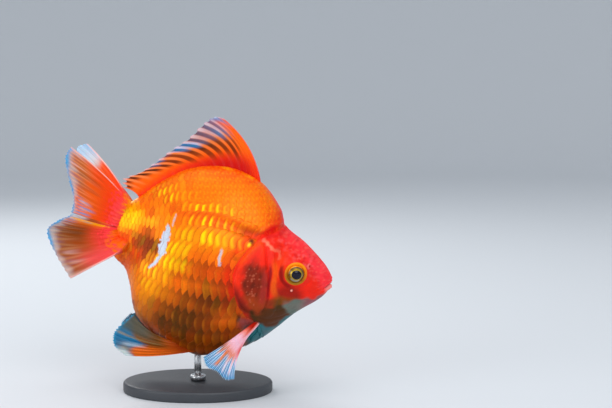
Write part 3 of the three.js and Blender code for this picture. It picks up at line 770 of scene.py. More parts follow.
def mouth_relief(x, z):
    """Height of the closed mouth's line and of both lips."""
    gape = mouth_height(x, z)
    in_mouth = smooth(MOUTH_CORNER[0] + 0.2, MOUTH_CORNER[0] + 2.2, x)
    line = -0.95 * bump(0, 0.2 + 0.2 * smooth(90.4, 92.4, x), gape)
    lips = 0.3 * bump(-0.95, 0.5, gape) - 0.42 * bump(0.6, 0.75, gape)
    behind_lips = (-0.3 * bump(1.75, 0.3, gape) * smooth(85.5, 88, x)
                   - 0.22 * bump(-1.6, 0.3, gape) * smooth(86.5, 88.5, x))
    return (line + lips) * in_mouth + behind_lips


def nostril_relief(points):
    """Height of the nostril's rim and of its front and hind openings."""
    place = points * np.where(points[..., 1:2] < 0, (1, -1, 1), (1, 1, 1))
    front = np.linalg.norm(place - NOSTRIL, axis=-1)
    behind = np.linalg.norm(place - NOSTRIL - NOSTRIL_STEP, axis=-1)
    return (0.35 * bump(0.65, 0.5, front) - 0.9 * smooth(0.62, 0.2, front)
            - 0.7 * smooth(0.7, 0.25, behind))


def fold_relief(x, z, scaled):
    """Height of the folds of nape and throat and of the canal behind the eye."""
    nape = line_distance(NAPE_FOLD, x, z)[0]
    height = 0.25 * bump(1.8, 1.2, nape) * scaled - 0.4 * bump(0, 0.7, nape)
    for throat_fold in THROAT_FOLDS:
        fold, share = line_distance(throat_fold, x, z)
        height = height - 0.22 * bump(0, 0.3, fold) * smooth(0.0, 0.2, share)
    return height + 0.12 * bump(0, 0.5, line_distance(CANAL, x, z)[0])


CHEEK_STEP = np.array((4.2, -0.8))                # the cheek's edge, ahead of the gill cover's
NOSTRIL_STEP = np.array((-1.3, 0.8, 0.3))         # the hind opening, from the front one
NAPE_FOLD = np.array([(67.6, 19.0), (63.2, 16.0), (59.2, 12.6), (56.6, 8.6)])
THROAT_FOLDS = [np.array([(64.0, -20.5), (69.5, -20.6), (75.5, -18.4), (80.5, -14.6)]),
                np.array([(66.5, -23.0), (71.5, -22.8), (77.0, -19.8)]),
                np.array([(70.5, -17.0), (75.0, -15.2), (80.0, -11.4), (84.5, -9.0)])]


def build_skin():
    """One skin over head, trunk and tail stem, with the head's folds in its shape."""
    t, phi = skin_parameters()
    both = np.concatenate([phi, phi[-2:0:-1]])
    sign = np.concatenate([-np.ones(len(phi)), np.ones(len(phi) - 2)])
    t_grid, phi_grid = np.meshgrid(t, both, indexing="ij")
    sign_grid = np.broadcast_to(sign, t_grid.shape)
    points, normals = surface(t_grid, phi_grid, sign_grid)
    shaped = orbit_lift(sculpt(points, normals))
    rows, columns = t_grid.shape
    tips = np.array([(STATIONS[0, 0], 0, -0.3), (STATIONS[-1, 0], 0, -1.5)])
    vertices = np.concatenate([shaped.reshape(-1, 3), tips])
    quads = grid_faces(rows, columns, around=True)
    ring = np.arange(columns)
    snout, stem = rows * columns, rows * columns + 1
    after = (ring + 1) % columns
    last = (rows - 1) * columns
    caps = [(snout, b, a) for a, b in zip(ring, after)]
    caps += [(stem, last + a, last + b) for a, b in zip(ring, after)]
    colours = marking(points.reshape(-1, 3), sign_grid.ravel())
    colours = np.concatenate([colours, colours[:1], colours[-1:]])
    bare = smooth(0.5, -0.5, neck_x(points[..., 2]) - points[..., 0]).ravel()
    bare = np.concatenate([bare, [1, 0]])
    uv = skin_unwrap(quads, columns, t)
    cap_uv = [(t_end / LAST, v) for t_end in (0, LAST) for a in ring
              for v in ((a + 0.5) / columns, (a + 1) / columns, a / columns)]
    add_object("fish_skin", vertices, quads.tolist() + caps,
               material("moist_fish_skin", wet_skin), FLESH + (
                   "gill_cover_right", "gill_cover_left"), {"marking": colours},
               {"bare": bare}, np.concatenate([uv, np.array(cap_uv)]))


def skin_unwrap(quads, columns, t):
    """Unwrap of the skin's own shape: along the body by across, one corner for each face corner."""
    row, column = quads // columns, quads % columns
    wraps = column[:, 1] < column[:, 0]
    v = column / columns
    v[wraps, 1:3] = 1.0
    return np.stack([t[row] / LAST, v], axis=-1).reshape(-1, 2)


# ---- the scales ---------------------------------------------------------------------------------

SCALE_END = 12.3                                  # station where the scales give way to the tail
FIRST_COLUMN_X = 55.0                             # rows over the hump begin ahead of column nought
COLUMNS_AHEAD = 10
ROW_GROWTH = 0.26                                 # how much taller the rows are on the belly
SCALE_CROWDING = 0.28                             # how much closer the columns stand at the tail
SCALE_THICK = 0.09
SCALE_PATCH = 0.003                               # how wide a scale's patch of the unwrap is
LAY_START, LAY_STEPS = -0.5, 300                  # first share of the lay, and its steps
STATIONS_BEYOND = 2.0                             # stations past the tail for one whole lay


def scale_lay():
    """Stations evenly spaced along the body's length, to the tail from ahead of the neck line."""
    lay = np.empty((LAY_STEPS + 1, ROUND))
    for k, share in enumerate(np.linspace(0, 1, ROUND)):
        t = np.linspace(2.0, SCALE_END, 260)
        points = on_body(BODY, t, np.full(t.shape, share))
        length = np.append(0, np.cumsum(np.linalg.norm(np.diff(points, axis=0), axis=1)))
        start = np.minimum(neck_x(points[:, 2]), FIRST_COLUMN_X)
        first = length[np.argmax(points[:, 0] < start)]
        places = np.linspace(LAY_START, 1, LAY_STEPS + 1)
        lay[:, k] = np.interp(first + (length[-1] - first) * places, length, t)
    return lay


LAY = scale_lay()


def scale_station(column, phi):
    """Station of a place counted in scale columns behind the neck line."""
    share = column / SCALE_COLUMNS
    share = (share - SCALE_CROWDING * share ** 2) / (1 - SCALE_CROWDING)
    beyond = np.maximum(share - 1, 0)
    share = (np.clip(share, LAY_START, 1) - LAY_START) / (1 - LAY_START)
    t = blended(LAY, share * LAY_STEPS, np.clip(folded(phi), 0, 1) * (ROUND - 1))
    return t + beyond * STATIONS_BEYOND


def row_share(place):
    """Share of the half girth of a place counted in scale rows from the back."""
    w = place / SCALE_ROWS
    share = folded(w) * (1 - ROW_GROWTH + ROW_GROWTH * folded(w))
    return np.where(w < 0, -share, np.where(w > 1, 2 - share, share))


def scale_lattice(rows):
    """Row and column of every scale whose tip comes out behind the neck line."""
    lattice = np.array([(row, column + 0.5 * (row % 2)) for row in rows
                        for column in range(-COLUMNS_AHEAD, SCALE_COLUMNS - 1)])
    phi = row_share(lattice[:, 0] + 0.5)
    tips = on_body(BODY, scale_station(lattice[:, 1] + SCALE_LENGTH, phi), phi)
    return lattice[tips[:, 0] < neck_x(tips[:, 2]) + 0.6]


def build_scales(side, sign, part, rows):
    """Overlapping scales of some rows of one side, joined as one mesh of thin curved plates."""
    random = np.random.default_rng(7 + sign + 10 * rows[0])
    s = np.concatenate([np.linspace(0, 0.5, 4), np.linspace(0.58, 1, 9)])[:, None]
    q = np.linspace(-1, 1, 15)[None, :]
    along, across = s.size, q.size
    edge = SCALE_LENGTH * (1 - 0.30 * np.abs(q) ** 2 - 0.14 * np.abs(q) ** 8)
    lattice = scale_lattice(rows)
    row, column = lattice[:, 0, None, None], lattice[:, 1, None, None]
    count = len(lattice)
    wide = np.minimum(1, 0.72 + 1.3 * s)
    phi = row_share(row + 0.5 + SCALE_HALF * q * wide)
    place = column + s * edge + random.normal(0, 0.02, (count, 1, 1))
    t = scale_station(place, phi)
    points, normals = surface(t, phi, np.full(t.shape, float(sign)))
    root = points[:, 0, across // 2]
    tip = points[:, -1, across // 2]
    reach = np.linalg.norm(tip - root, axis=-1)[:, None, None]
    relief = np.clip(reach / 6.0, 0.3, 1.1) * relief_share(tip)[:, None, None]
    tilt = 0.50 + 0.012 * random.standard_normal((count, 1, 1))
    rise = -COAT_DEPTH + relief * (tilt * s + 0.08 * (1 - q ** 4) * np.sqrt(s))
    rise = rise - relief * (0.05 * smooth(0.9, 1.0, s) + 0.24 * smooth(0.74, 1.0, np.abs(q)))
    rise = rise - 0.03 * q * relief * smooth(2, -8, tip[:, 2])[:, None, None]
    rise = np.minimum(rise, under_gill_cover(points))
    top = points + normals * rise[..., None]
    under = points + normals * (rise - SCALE_THICK * (0.4 + 0.6 * relief))[..., None]
    shell = np.concatenate([top.reshape(count, -1, 3), under.reshape(count, -1, 3)], axis=1)
    plate = scale_faces(along, across, sign)
    faces = (plate[None] + (np.arange(count) * 2 * along * across)[:, None, None]).reshape(-1, 4)
    colours = scale_colours(points, s, q, sign, random)
    colours = np.concatenate([colours, colours], axis=1).reshape(-1, 3)
    uv = scale_unwrap(plate, along, across, t, phi, sign)
    add_object("scales_" + part + "_" + side, shell.reshape(-1, 3), faces.tolist(),
               material("guanine_scale", guanine_scale), (),
               {"marking": colours}, None, uv)


def under_gill_cover(points):
    """How high a scale may stand: tucked in under the gill cover, free behind it."""
    inside = outline_distance(GILL_COVER, points[..., 0], points[..., 2])
    ahead = points[..., 0] - neck_x(points[..., 2])
    return 1.0 - 1.35 * smooth(-0.9, 0.1, np.maximum(inside, ahead))


def relief_share(points):
    """Scales stand out least on the fleshy hump and most on the belly."""
    x, z = points[..., 0], points[..., 2]
    hump = smooth(6, 16, z) * smooth(14, 34, x)
    return 1.0 - 0.88 * hump


def scale_faces(along, across, sign):
    """Closed shell of one scale: top, underside and the rim between them."""
    top = grid_faces(along, across)
    behind = along * across
    under = top[:, ::-1] + behind
    ring = list(range(across))
    ring += [i * across + across - 1 for i in range(1, along)]
    ring += [(along - 1) * across + j for j in range(across - 2, -1, -1)]
    ring += [i * across for i in range(along - 2, 0, -1)]
    rim = [(b, a, a + behind, b + behind) for a, b in zip(ring, ring[1:] + ring[:1])]
    faces = np.concatenate([top, under, np.array(rim)])
    return faces if sign > 0 else faces[:, ::-1]


def scale_colours(points, s, q, sign, random):
    """Marking of each scale: painted glints down its middle, a painted highlight by its lower free
    edge, painted shade towards its upper edge and painted shadow on the part hidden under the scale
    ahead.
    """
    count = len(points)
    x, z = points[..., 0], points[..., 2]
    middle = points[:, points.shape[1] * 2 // 3, points.shape[2] // 2]
    mx, mz = middle[:, 0, None, None], middle[:, 2, None, None]
    own = body_marking(middle[:, 0], middle[:, 1], middle[:, 2])[:, None, None, :]
    here = body_marking(x, points[..., 1], z)
    apart = relief_share(middle)[:, None, None]
    even = (1 - 0.55 * apart)[..., None]
    vary = 1 + 0.08 * apart * random.standard_normal((count, 1, 1))
    base = np.clip(((1 - even) * own + even * here) * vary[..., None], 0, 1)
    shift = apart * random.uniform(-1, 1, (count, 1, 1))
    lively = np.clip(0.9 + 0.45 * random.standard_normal((count, 1, 1)), 0.05, 1.5)
    slant = (0.05 - 0.25 * smooth(28, 42, mx)) * q
    broad = 0.08 + 0.06 * smooth(9, 5, mz) * smooth(24, 32, mx)
    band = bump(0.85 + slant, broad, s) * smooth(0.7, 0.2, np.abs(q + 0.05))
    low = smooth(0, -10, mz) * smooth(20, 34, mx)
    hidden = smooth(0.70, 0.56, s)
    base = layered(base, [
        ("#FFAC00", 0.3 * np.maximum(shift, 0) * smooth(-30, -8, z)),
        ("#D23C00", 0.3 * np.maximum(-shift, 0)),
        ("#FFD400", band * glint_share(mx, mz) * lively),
        # painted shade on each belly scale's upper part
        ("#4A2602", 0.45 * low * smooth(0.0, 0.5, -q) * smooth(0.5, 0.7, s)),
        # painted highlight near each belly scale's lower free edge
        ("#C87008", 0.45 * low * bump(0.93, 0.06, s) * bump(0.15, 0.35, q) * lively),
        # painted shadow on the part hidden under the scale ahead
        ("#7A2C00", 0.30 * hidden * (0.1 + 0.9 * smooth(16, 8, mz))),
    ])
    bare = (smooth(57, 60, x) * smooth(-19, -22, z))[..., None]
    return scarred(base * (1 - bare) + here * bare, x, z, sign).reshape(count, -1, 3)


def glint_share(x, z):
    """How strongly the scales glint yellow there."""
    glint = np.zeros(x.shape)
    for gx, gz, half_x, half_z, strength in GLINTS:
        away = np.hypot((x - gx) / half_x, (z - gz) / half_z)
        glint = np.maximum(glint, strength * smooth(1.3, 0.5, away))
    return glint


# Where the scales glint yellow: x, z, half-length, half-height, strength.
GLINTS = [
    (40, 5, 14, 4.0, 0.95),
    (39, 11, 12, 3.0, 0.8),
    (34, 18.5, 12, 3.2, 0.85),
    (20, 19.0, 10, 4.2, 0.7),
    (27, -5, 6.5, 8, 0.85),
    (20, -14, 6, 8, 0.6),
]


def scale_unwrap(plate, along, across, t, phi, sign):
    """A small patch for each scale, at its root's place on the skin's unwrap."""
    root_u = t[:, 0, across // 2] / LAST
    turn = phi[:, 0, across // 2] / 2
    root_v = turn if sign < 0 else 1 - turn
    corner = plate % (along * across)
    du = (corner // across) / (along - 1) * SCALE_PATCH
    dv = ((corner % across) / (across - 1) - 0.5) * SCALE_PATCH
    u = root_u[:, None, None] + du[None]
    v = root_v[:, None, None] + dv[None]
    return np.stack([u, v], axis=-1).reshape(-1, 2)


# ---- the fins -----------------------------------------------------------------------------------

STEPS_PER_RAY = 12
# Each kind of fin: bony rays, steps from root to tip, thickness at the root, notches between the
# rays at its first and last ray, ripple, fleshy share and how far each ray forks.
DORSAL_MAKE = dict(count=18, length_steps=90, root_thick=2.4, notch=(0.4, 1.6), wave=0.25,
                   fleshed=0.05, fork=0.08)
TAIL_MAKE = dict(count=10, length_steps=84, root_thick=5.2, notch=(0.5, 0.5), wave=0.5,
                 fleshed=0.3, fork=0.25)
PECTORAL_MAKE = dict(count=14, length_steps=64, root_thick=3.0, notch=(1.1, 1.1), wave=0.3,
                     fleshed=0.05, fork=0.25)
PELVIC_MAKE = dict(count=9, length_steps=72, root_thick=1.9, notch=(0.8, 0.8), wave=0.3,
                   fleshed=0.14, fork=0.25)
ANAL_MAKE = dict(count=6, length_steps=48, root_thick=1.2, notch=(0.6, 0.6), wave=0.2,
                 fleshed=0.14, fork=0.25)


def sheet(rays, u, v):
    """Points of a fin's middle sheet: u across its rays, 0 to 1, and v from root to tip."""
    rays = np.asarray(rays, float)
    root, middle, tip = (spline(rays[:, k], u * (len(rays) - 1), closed_ends=False)
                         for k in range(3))
    pull = 2 * middle - (root + tip) / 2
    v = v[..., None]
    return (1 - v) ** 2 * root + 2 * v * (1 - v) * pull + v * v * tip


def ray_ridge(u, v, count, fork):
    """How near a place is to a bony ray, 0 to 1; each ray forks in two half way out."""
    place = u * (count - 1)
    width = 0.20 - 0.36 * fork * smooth(0.3, 0.9, v)
    nearest = np.abs(place - np.round(place))
    branch = np.abs(nearest - fork * smooth(0.35, 0.95, v))
    return np.exp(-(branch / width) ** 2)


def build_fin(name, rays, sign, paint, count, length_steps, root_thick, notch, wave, fleshed, fork):
    """A thin fin with raised bony rays, thin skin between them and a fringed edge."""
    rays = np.asarray(rays, float) * np.array((1, -sign, 1))
    u = np.linspace(0, 1, (count - 1) * STEPS_PER_RAY + 1)[:, None]
    v = np.linspace(0, 1, length_steps)[None, :]
    u, v = np.broadcast_arrays(u, v)
    ridge_at_edge = ray_ridge(u, np.ones_like(v), count, fork)
    main_ray = bump(0, 0.3, (u * (count - 1)) - np.round(u * (count - 1)))
    length = np.linalg.norm(np.diff(sheet(rays, u, v), axis=1), axis=-1).sum(1)[:, None]
    deep = notch[0] + (notch[1] - notch[0]) * u
    short = deep / length * (1 - ridge_at_edge * (0.45 + 0.55 * main_ray))
    v_real = v * (1 - short * smooth(0.55, 1.0, v))
    middle = sheet(rays, u, v_real)
    normal = unit(np.cross(np.gradient(middle, axis=0), np.gradient(middle, axis=1)))
    ridge = ray_ridge(u, v_real, count, fork)
    ripple = wave * smooth(0.2, 1.0, v) * np.sin(u * 9.0 + 2.2 * v)
    ripple = ripple + 0.16 * smooth(0.15, 0.7, v) * np.cos(2 * math.pi * u * (count - 1))
    middle = middle + normal * ripple[..., None]
    thin = 0.16 + 0.10 * (1 - v)
    bone = (0.46 * (1 - v) + 0.16) * ridge
    foot = (root_thick - 0.5) * smooth(0.42, 0.05, v) ** 2
    half = ((thin + bone + foot) / 2)[..., None] * (1 - 0.6 * smooth(0.97, 1.0, v))[..., None]
    front, back = middle + normal * half, middle - normal * half
    rows, columns = u.shape
    tint, clear = paint(u, v_real, ridge)
    flesh = smooth(fleshed, 0.4 * fleshed, v_real + 0.35 * fleshed * mottle(u * 26, v * 60))
    tint = tint + (marking(middle, sign) - tint) * flesh[..., None]
    vertices = np.concatenate([front.reshape(-1, 3), back.reshape(-1, 3)])
    faces = scale_faces(rows, columns, 1)
    corner = faces % (rows * columns)
    far_side = np.where(faces >= rows * columns, 0.5, 0.0)
    uv = np.stack([(corner // columns) / (rows - 1),
                   far_side + 0.49 * (corner % columns) / (columns - 1)], axis=-1)
    colours = np.concatenate([tint.reshape(-1, 3)] * 2)
    numbers = {"clear": np.concatenate([clear.ravel()] * 2),
               "along": np.concatenate([(v_real * length).ravel()] * 2),
               "ray": np.concatenate([ridge.ravel()] * 2)}
    add_object(name + "_rayed", vertices, faces.tolist(), material("fin_membrane", fin_membrane),
               (name,), {"marking": colours}, numbers, uv.reshape(-1, 2))


def per_gap(u, count, seed):
    """An even random number, 0 to 1, for each gap between two rays."""
    values = np.random.default_rng(seed).uniform(size=count + 1)
    return values[np.clip(np.floor(u * (count - 1)).astype(int), 0, count)]


def dorsal_paint(u, v, ridge):
    """Orange membrane with painted shade between the rays, towards a blue and white fringe."""
    cloud = mottle(u * 13 + v * 2, v * 5)
    between = smooth(0.72, 0.2, ridge)
    back = smooth(0.12, 0.26, u)
    foot = smooth(0.42, 0.1, v) * smooth(0.05, 0.25, u) * smooth(0.8, 0.4, u)
    reach = 0.22 + 0.16 * per_gap(u, DORSAL_MAKE["count"], 3) + 0.40 * smooth(0.45, 1.0, u)
    # painted shade between the rays, standing for the dark seen through the clear membrane
    dark = smooth(0.62, 0.12, ridge) * smooth(reach - 0.08, reach + 0.16, v) * back
    fringe = 0.80 + 0.12 * per_gap(u, DORSAL_MAKE["count"], 5) - 0.12 * smooth(0.62, 0.2, u)
    edge = smooth(fringe - 0.1, fringe + 0.08, v + 0.06 * between + 0.05 * cloud)
    edge = edge * smooth(0.08, 0.2, u + 0.06 * smooth(0.9, 1.0, v)) * smooth(0.75, 0.6, u)
    patchy = 0.35 + 0.65 * smooth(-0.5, 0.4, mottle(u * 21, v * 2))
    tip = smooth(0.80, 0.95, v + 0.1 * cloud) * bump(0.13, 0.08, u)
    tint = layered(plain(u.shape, "#FF6400"), [
        ("#F03400", smooth(0.5, 0.15, v)),
        ("#C80600", foot),
        ("#3E1804", 0.95 * dark * (0.8 + 0.2 * smooth(-0.6, 0.4, cloud))),
        ("#9A4E1C", 0.5 * back * smooth(0.45, 0.8, v) * smooth(0.55, 0.35, u)),
        ("#F09A5C", 0.6 * ridge * smooth(0.35, 0.8, v) * back),
        ("#1C78AC", 0.9 * edge * between * patchy),
        ("#A8C8EC", 0.8 * edge * (1 - between) * patchy),
        ("#D8C4CC", 0.7 * (1 - between) * smooth(0.84, 0.99, v) * back),
        ("#2E8CC4", 0.8 * tip),
        ("#D8D0E0", 0.7 * smooth(0.95, 1.0, v) * smooth(0.2, 0.1, u)),
        ("#F07888", 0.7 * smooth(0.02, 0.006, u) * smooth(0.1, 0.3, v)),
    ])
    return tint, 0.12 * between * smooth(0.7, 1.0, v) * smooth(0.1, 0.2, u)


def tail_paint(upper, sign):
    """Paint of one tail lobe: rose root, orange, tan and dark streaks, a pale and blue edge."""
    pale_from, blue_from = (0.56, 0.62) if upper and sign > 0 else (0.84, 0.92)

    def paint(u, v, ridge):
        between = smooth(0.75, 0.25, ridge)
        cloud = mottle(u * 9, v * 5 + u * 3)
        streaky = mottle(u * 31, v * 2)
        uneven = v + 0.05 * mottle(u * 11, v * 3)
        edge = smooth(blue_from, 0.99, uneven)
        if upper:
            own = [("#FF4606", 0.8 * smooth(0.5, 0.05, u) * smooth(0.9, 0.6, v))]
            tan_share = smooth(0.55, 0.85, v + 0.12 * cloud) * smooth(0.85, 0.3, u)
            fork = smooth(0.5, 0.95, u)
            rim = smooth(0.035, 0.015, u)
        else:
            own = [
                ("#FF7A00", 0.8 * bump(0.06, 0.12, u) * smooth(0.1, 0.35, v)),
                ("#7C3A00", 0.9 * smooth(0.34, 0.6, v) * bump(0.45, 0.26, u)),
                ("#F0464A", 0.85 * smooth(0.66, 0.9, u) * smooth(0.95, 0.65, v)),
                ("#FFB408", 0.9 * bump(0.03, 0.05, u) * smooth(0.05, 0.3, v)),
            ]
            tan_share = smooth(0.6, 0.9, v + 0.12 * cloud) * smooth(0.1, 0.3, u)
            fork = smooth(0.3, 0.05, u)
            rim = smooth(0.975, 0.99, u)
            edge = edge * smooth(0.85, 0.6, u)
        gaps = per_gap(u, TAIL_MAKE["count"], 11 if upper else 12)
        reach = 0.80 + 0.16 * gaps - 0.34 * fork
        streak = bump(0.0, 0.45, ridge) * smooth(reach - 0.1, reach + 0.14, v)
        streak = streak * (0.35 + 0.65 * fork)
        rosy = smooth(0.45, 0.95, -streaky) * smooth(0.55, 0.85, v) * (0.5 if upper else 0.3)
        bony = (0.3 if upper else 0.2) * ridge * smooth(0.4, 0.85, v)
        pale = smooth(pale_from, pale_from + 0.12, uneven + 0.06 * streaky)
        tint = layered(plain(u.shape, "#F8600A" if upper else "#C44E04"), [
            ("#FA3008" if upper else "#EE3230", smooth(0.66, 0.12, v)),
            ("#FF4E6E", 0.8 * smooth(0.24, 0.05, v) * (0.7 + 0.3 * streaky)),
            *own,
            ("#B8743C" if upper else "#8E5426", 0.65 * tan_share),
            ("#963A08", 0.3 * between * smooth(0.3, 0.6, v) * (0.6 + 0.4 * cloud)),
            ("#6A3420", 0.3 * smooth(0.3, 0.9, streaky) * smooth(0.35, 0.6, v)),
            ("#7E9CD0", 0.8 * streak * smooth(-0.5, 0.3, cloud)),
            ("#E8CCD0", rosy * smooth(-0.6, 0.3, cloud)),
            ("#FFC490", bony * (0.7 + 0.3 * cloud)),
            ("#D8D0CC", 0.55 * pale),
            ("#38A4DC", 0.9 * edge),
            ("#DCECF4", 0.6 * smooth(0.62, 0.8, v) * bump(0.2, 0.2, u) * (sign > 0)),
            ("#FFC4BC", 0.8 * rim * smooth(0.15, 0.4, v)),
        ])
        return tint, 0.12 * between * smooth(0.75, 1.0, v)
    return paint


def pectoral_paint(u, v, ridge):
    """Rose-white rays from a red root, with blue between them at the edge."""
    between = smooth(0.85, 0.35, ridge)
    cloud = mottle(u * 23, v * 5)
    outer = smooth(0.6, 0.74, v + 0.06 * cloud)
    gap = between * smooth(0.62, 0.8, v + 0.16 * cloud)
    streak = bump(0.62, 0.05, u) * smooth(0.55, 0.65, v) * smooth(0.93, 0.85, v)
    tint = layered(plain(u.shape, "#FFD2E0"), [
        ("#FF7A4A", 0.85 * smooth(0.36, 0.18, v) * smooth(0.1, 0.35, u)),
        ("#C41C06", smooth(0.24, 0.12, v) * smooth(0.3, 0.6, u)),
        ("#EE5A54", 0.85 * bump(0.06, 0.16, u) * bump(0.5, 0.12, v)),
        ("#F08A58", 0.8 * bump(0.62, 0.09, v + 0.05 * cloud) * smooth(0.1, 0.3, u)),
        ("#7C5A48", 0.75 * between * smooth(0.45, 0.65, v) * smooth(0.72, 0.95, u)),
        ("#DCF4FF", 0.95 * outer * (1 - between)),
        ("#008CC4", 0.95 * gap),
        ("#EE8430", 0.9 * streak),
        ("#0C94CC", 0.85 * smooth(0.88, 0.97, v) * (0.35 + 0.65 * between)),
    ])
    return tint, 0.15 * between * smooth(0.7, 0.95, v)


def pelvic_paint(u, v, ridge):
    """Orange and brown under an olive and grey upper lobe, with a blue edge and a pale corner."""
    between = smooth(0.75, 0.25, ridge)
    cloud = mottle(u * 8, v * 6)
    streaky = mottle(u * 19, v * 1.5)
    upper = smooth(0.30, 0.62, u)
    far = smooth(0.82, 0.94, v + 0.32 * bump(0.55, 0.2, u) + 0.05 * cloud)
    grey = smooth(0.72, 0.86, u) * smooth(0.4, 0.7, v)
    pale = bump(0.42, 0.05, u + 0.03 * cloud) * smooth(0.55, 0.7, v) * smooth(0.92, 0.8, v)
    tint = layered(plain(u.shape, "#EC6A0C"), [
        ("#9A3600", smooth(0.55, 0.1, v)),
        ("#9A4A0C", 0.5 * between * smooth(0.2, 0.5, v)),
        ("#FFB480", 0.5 * ridge * smooth(0.45, 0.9, v) * smooth(0.2, 0.8, streaky)),
        ("#5A3E10", 0.85 * upper * smooth(0.2, 0.45, v)),
        ("#00719E", 0.95 * far * smooth(1.0, 0.8, u)),
        ("#8A7C62", 0.8 * bump(0.86, 0.07, v) * bump(0.3, 0.12, u + 0.04 * cloud)),
        ("#54584C", 0.85 * grey),
        ("#B49868", 0.6 * bump(0.70, 0.03, u) * smooth(0.3, 0.5, v)),
        ("#C0D0DC", 0.6 * pale),
        ("#1E9CC8", 0.8 * smooth(0.94, 0.99, v) * smooth(0.02, 0.12, u)),
        ("#D4E0DC", 0.85 * smooth(0.84, 0.94, v + 0.04 * cloud) * smooth(0.34, 0.12, u)),
    ])
    return tint, 0.1 * between * far


def build_fins():
    """The dorsal fin, and for each side two tail lobes, a pectoral, a pelvic and an anal fin."""
    build_fin("dorsal_fin", DORSAL_RAYS, -1, dorsal_paint, **DORSAL_MAKE)
    for side, sign in SIDES:
        upper, stroke = np.array(TAIL_UPPER_RAYS), np.array(PECTORAL_RAYS)
        if sign > 0:
            upper[1:] += LEFT_TAIL_SPREAD * SWING_SHARE
            stroke += LEFT_PECTORAL_SWING * SWING_SHARE
        for name, rays, paint, make in (
                ("tail_fin_upper_", upper, tail_paint(True, sign), TAIL_MAKE),
                ("tail_fin_lower_", TAIL_LOWER_RAYS, tail_paint(False, sign), TAIL_MAKE),
                ("pectoral_fin_", stroke, pectoral_paint, PECTORAL_MAKE),
                ("pelvic_fin_", PELVIC_RAYS, pelvic_paint, PELVIC_MAKE),
                ("anal_fin_", ANAL_RAYS, pelvic_paint, ANAL_MAKE)):
            build_fin(name + side, rays, sign, paint, **make)


# ---- the eyes -----------------------------------------------------------------------------------


def eye_axes(sign):
    """An eye's centre, and the directions it looks in, up and across."""
    mirror = np.array((1, sign, 1))
    aim = unit(EYE_AIM * mirror)
    up = unit(np.array((0, 0, 1)) - aim[2] * aim)
    return EYE * mirror, aim, up, np.cross(up, aim)


def turned_points(radii, heights, segments, axes):
    """A profile of radii and heights turned about the eye's axis."""
    centre, aim, up, across = axes
    angle = np.linspace(0, 2 * math.pi, segments, endpoint=False)
    ring = np.cos(angle)[:, None] * across + np.sin(angle)[:, None] * up
    points = centre + heights[:, None, None] * aim + radii[:, None, None] * ring[None]
    return points, np.broadcast_to(angle, points.shape[:2])


PUPIL_BLACK = "#03041A"
CORNEA_BULGE = 0.28                               # how far the cornea stands over the ball
BEHIND = 9.0                                      # a radius past every mark, for the ball's back
RING_RADIUS, RING_HALF_WIDE = 4.4, 0.72           # the rolled skin about the eye
RING_LEVEL, RING_HALF_HIGH = 1.72, 0.52


def eye_marking(r, oval, angle, sign):
    """Golden surround, smoky iris, thin gold ring and dark pupil, by distance from the axis."""
    side_way, high = np.cos(angle), np.sin(angle)
    shade = bump(3.0, 0.24, r) * smooth(-0.35, 0.1, high + 0.35 * np.abs(side_way))
    rear = smooth(-0.1, 0.6, -sign * side_way - 0.4 * high)
    return layered(plain(r.shape, "#C87E08"), [
        ("#8E7420", 0.8 * smooth(0.2, -0.6, high)),
        ("#FF9C04", 0.9 * smooth(0.1, 0.7, high) * smooth(2.9, 3.3, r)),
        ("#B08A10", 0.9 * smooth(3.0, 2.6, r)),
        ("#6E4A10", 0.85 * bump(3.35, 0.5, r) * rear),
        ("#1E2438", 0.9 * shade),
        ("#5A5414", 0.5 * bump(2.6, 0.5, r) * smooth(0.2, 0.9, np.abs(side_way))),
        ("#B4D0C4", 0.8 * bump(2.75, 0.3, r) * smooth(-0.62, -0.9, high)),
        ("#E0B81C", 0.85 * bump(2.36, 0.11, oval)),
        (PUPIL_BLACK, smooth(2.24, 2.12, oval)),
    ])


def build_eye(side, sign):
    """Eyeball with a bulging cornea, marked with its iris and pupil."""
    segments, rings = 96, 80
    bend = np.linspace(0.004, math.pi - 0.03, rings)  # open at the front pole and at the back
    radii, heights = EYE_RADIUS * np.sin(bend), EYE_RADIUS * np.cos(bend)
    heights = heights + CORNEA_BULGE * smooth(3.1, 1.2, radii) * (heights > 0)
    points, angle = turned_points(radii, heights, segments, eye_axes(sign))
    facing = np.broadcast_to(heights[:, None] > 0, angle.shape)
    r = np.where(facing, np.broadcast_to(radii[:, None], angle.shape), BEHIND)
    oval = r * np.sqrt(np.cos(angle) ** 2 + (1.12 * np.sin(angle)) ** 2)
    tint = eye_marking(r, oval, angle, sign)
    pole = points[0].mean(0)
    vertices = np.concatenate([points.reshape(-1, 3), [pole]])
    faces = grid_faces(rings, segments, around=True)
    cap = [(rings * segments, k, (k + 1) % segments) for k in range(segments)]
    back = [tuple(range((rings - 1) * segments, rings * segments))[::-1]]
    colours = np.concatenate([tint.reshape(-1, 3), [linear(PUPIL_BLACK)]])
    gold = smooth(2.1, 2.25, oval).ravel()
    quads = faces[:, ::-1] if sign > 0 else faces
    if sign > 0:
        cap = [c[::-1] for c in cap]
        back = [back[0][::-1]]
    add_object("eyeball_" + side, vertices, quads.tolist() + cap + back,
               material("wet_eyeball", wet_eye), ("eye_" + side,), {"marking": colours},
               {"gold": np.append(gold, 0)})


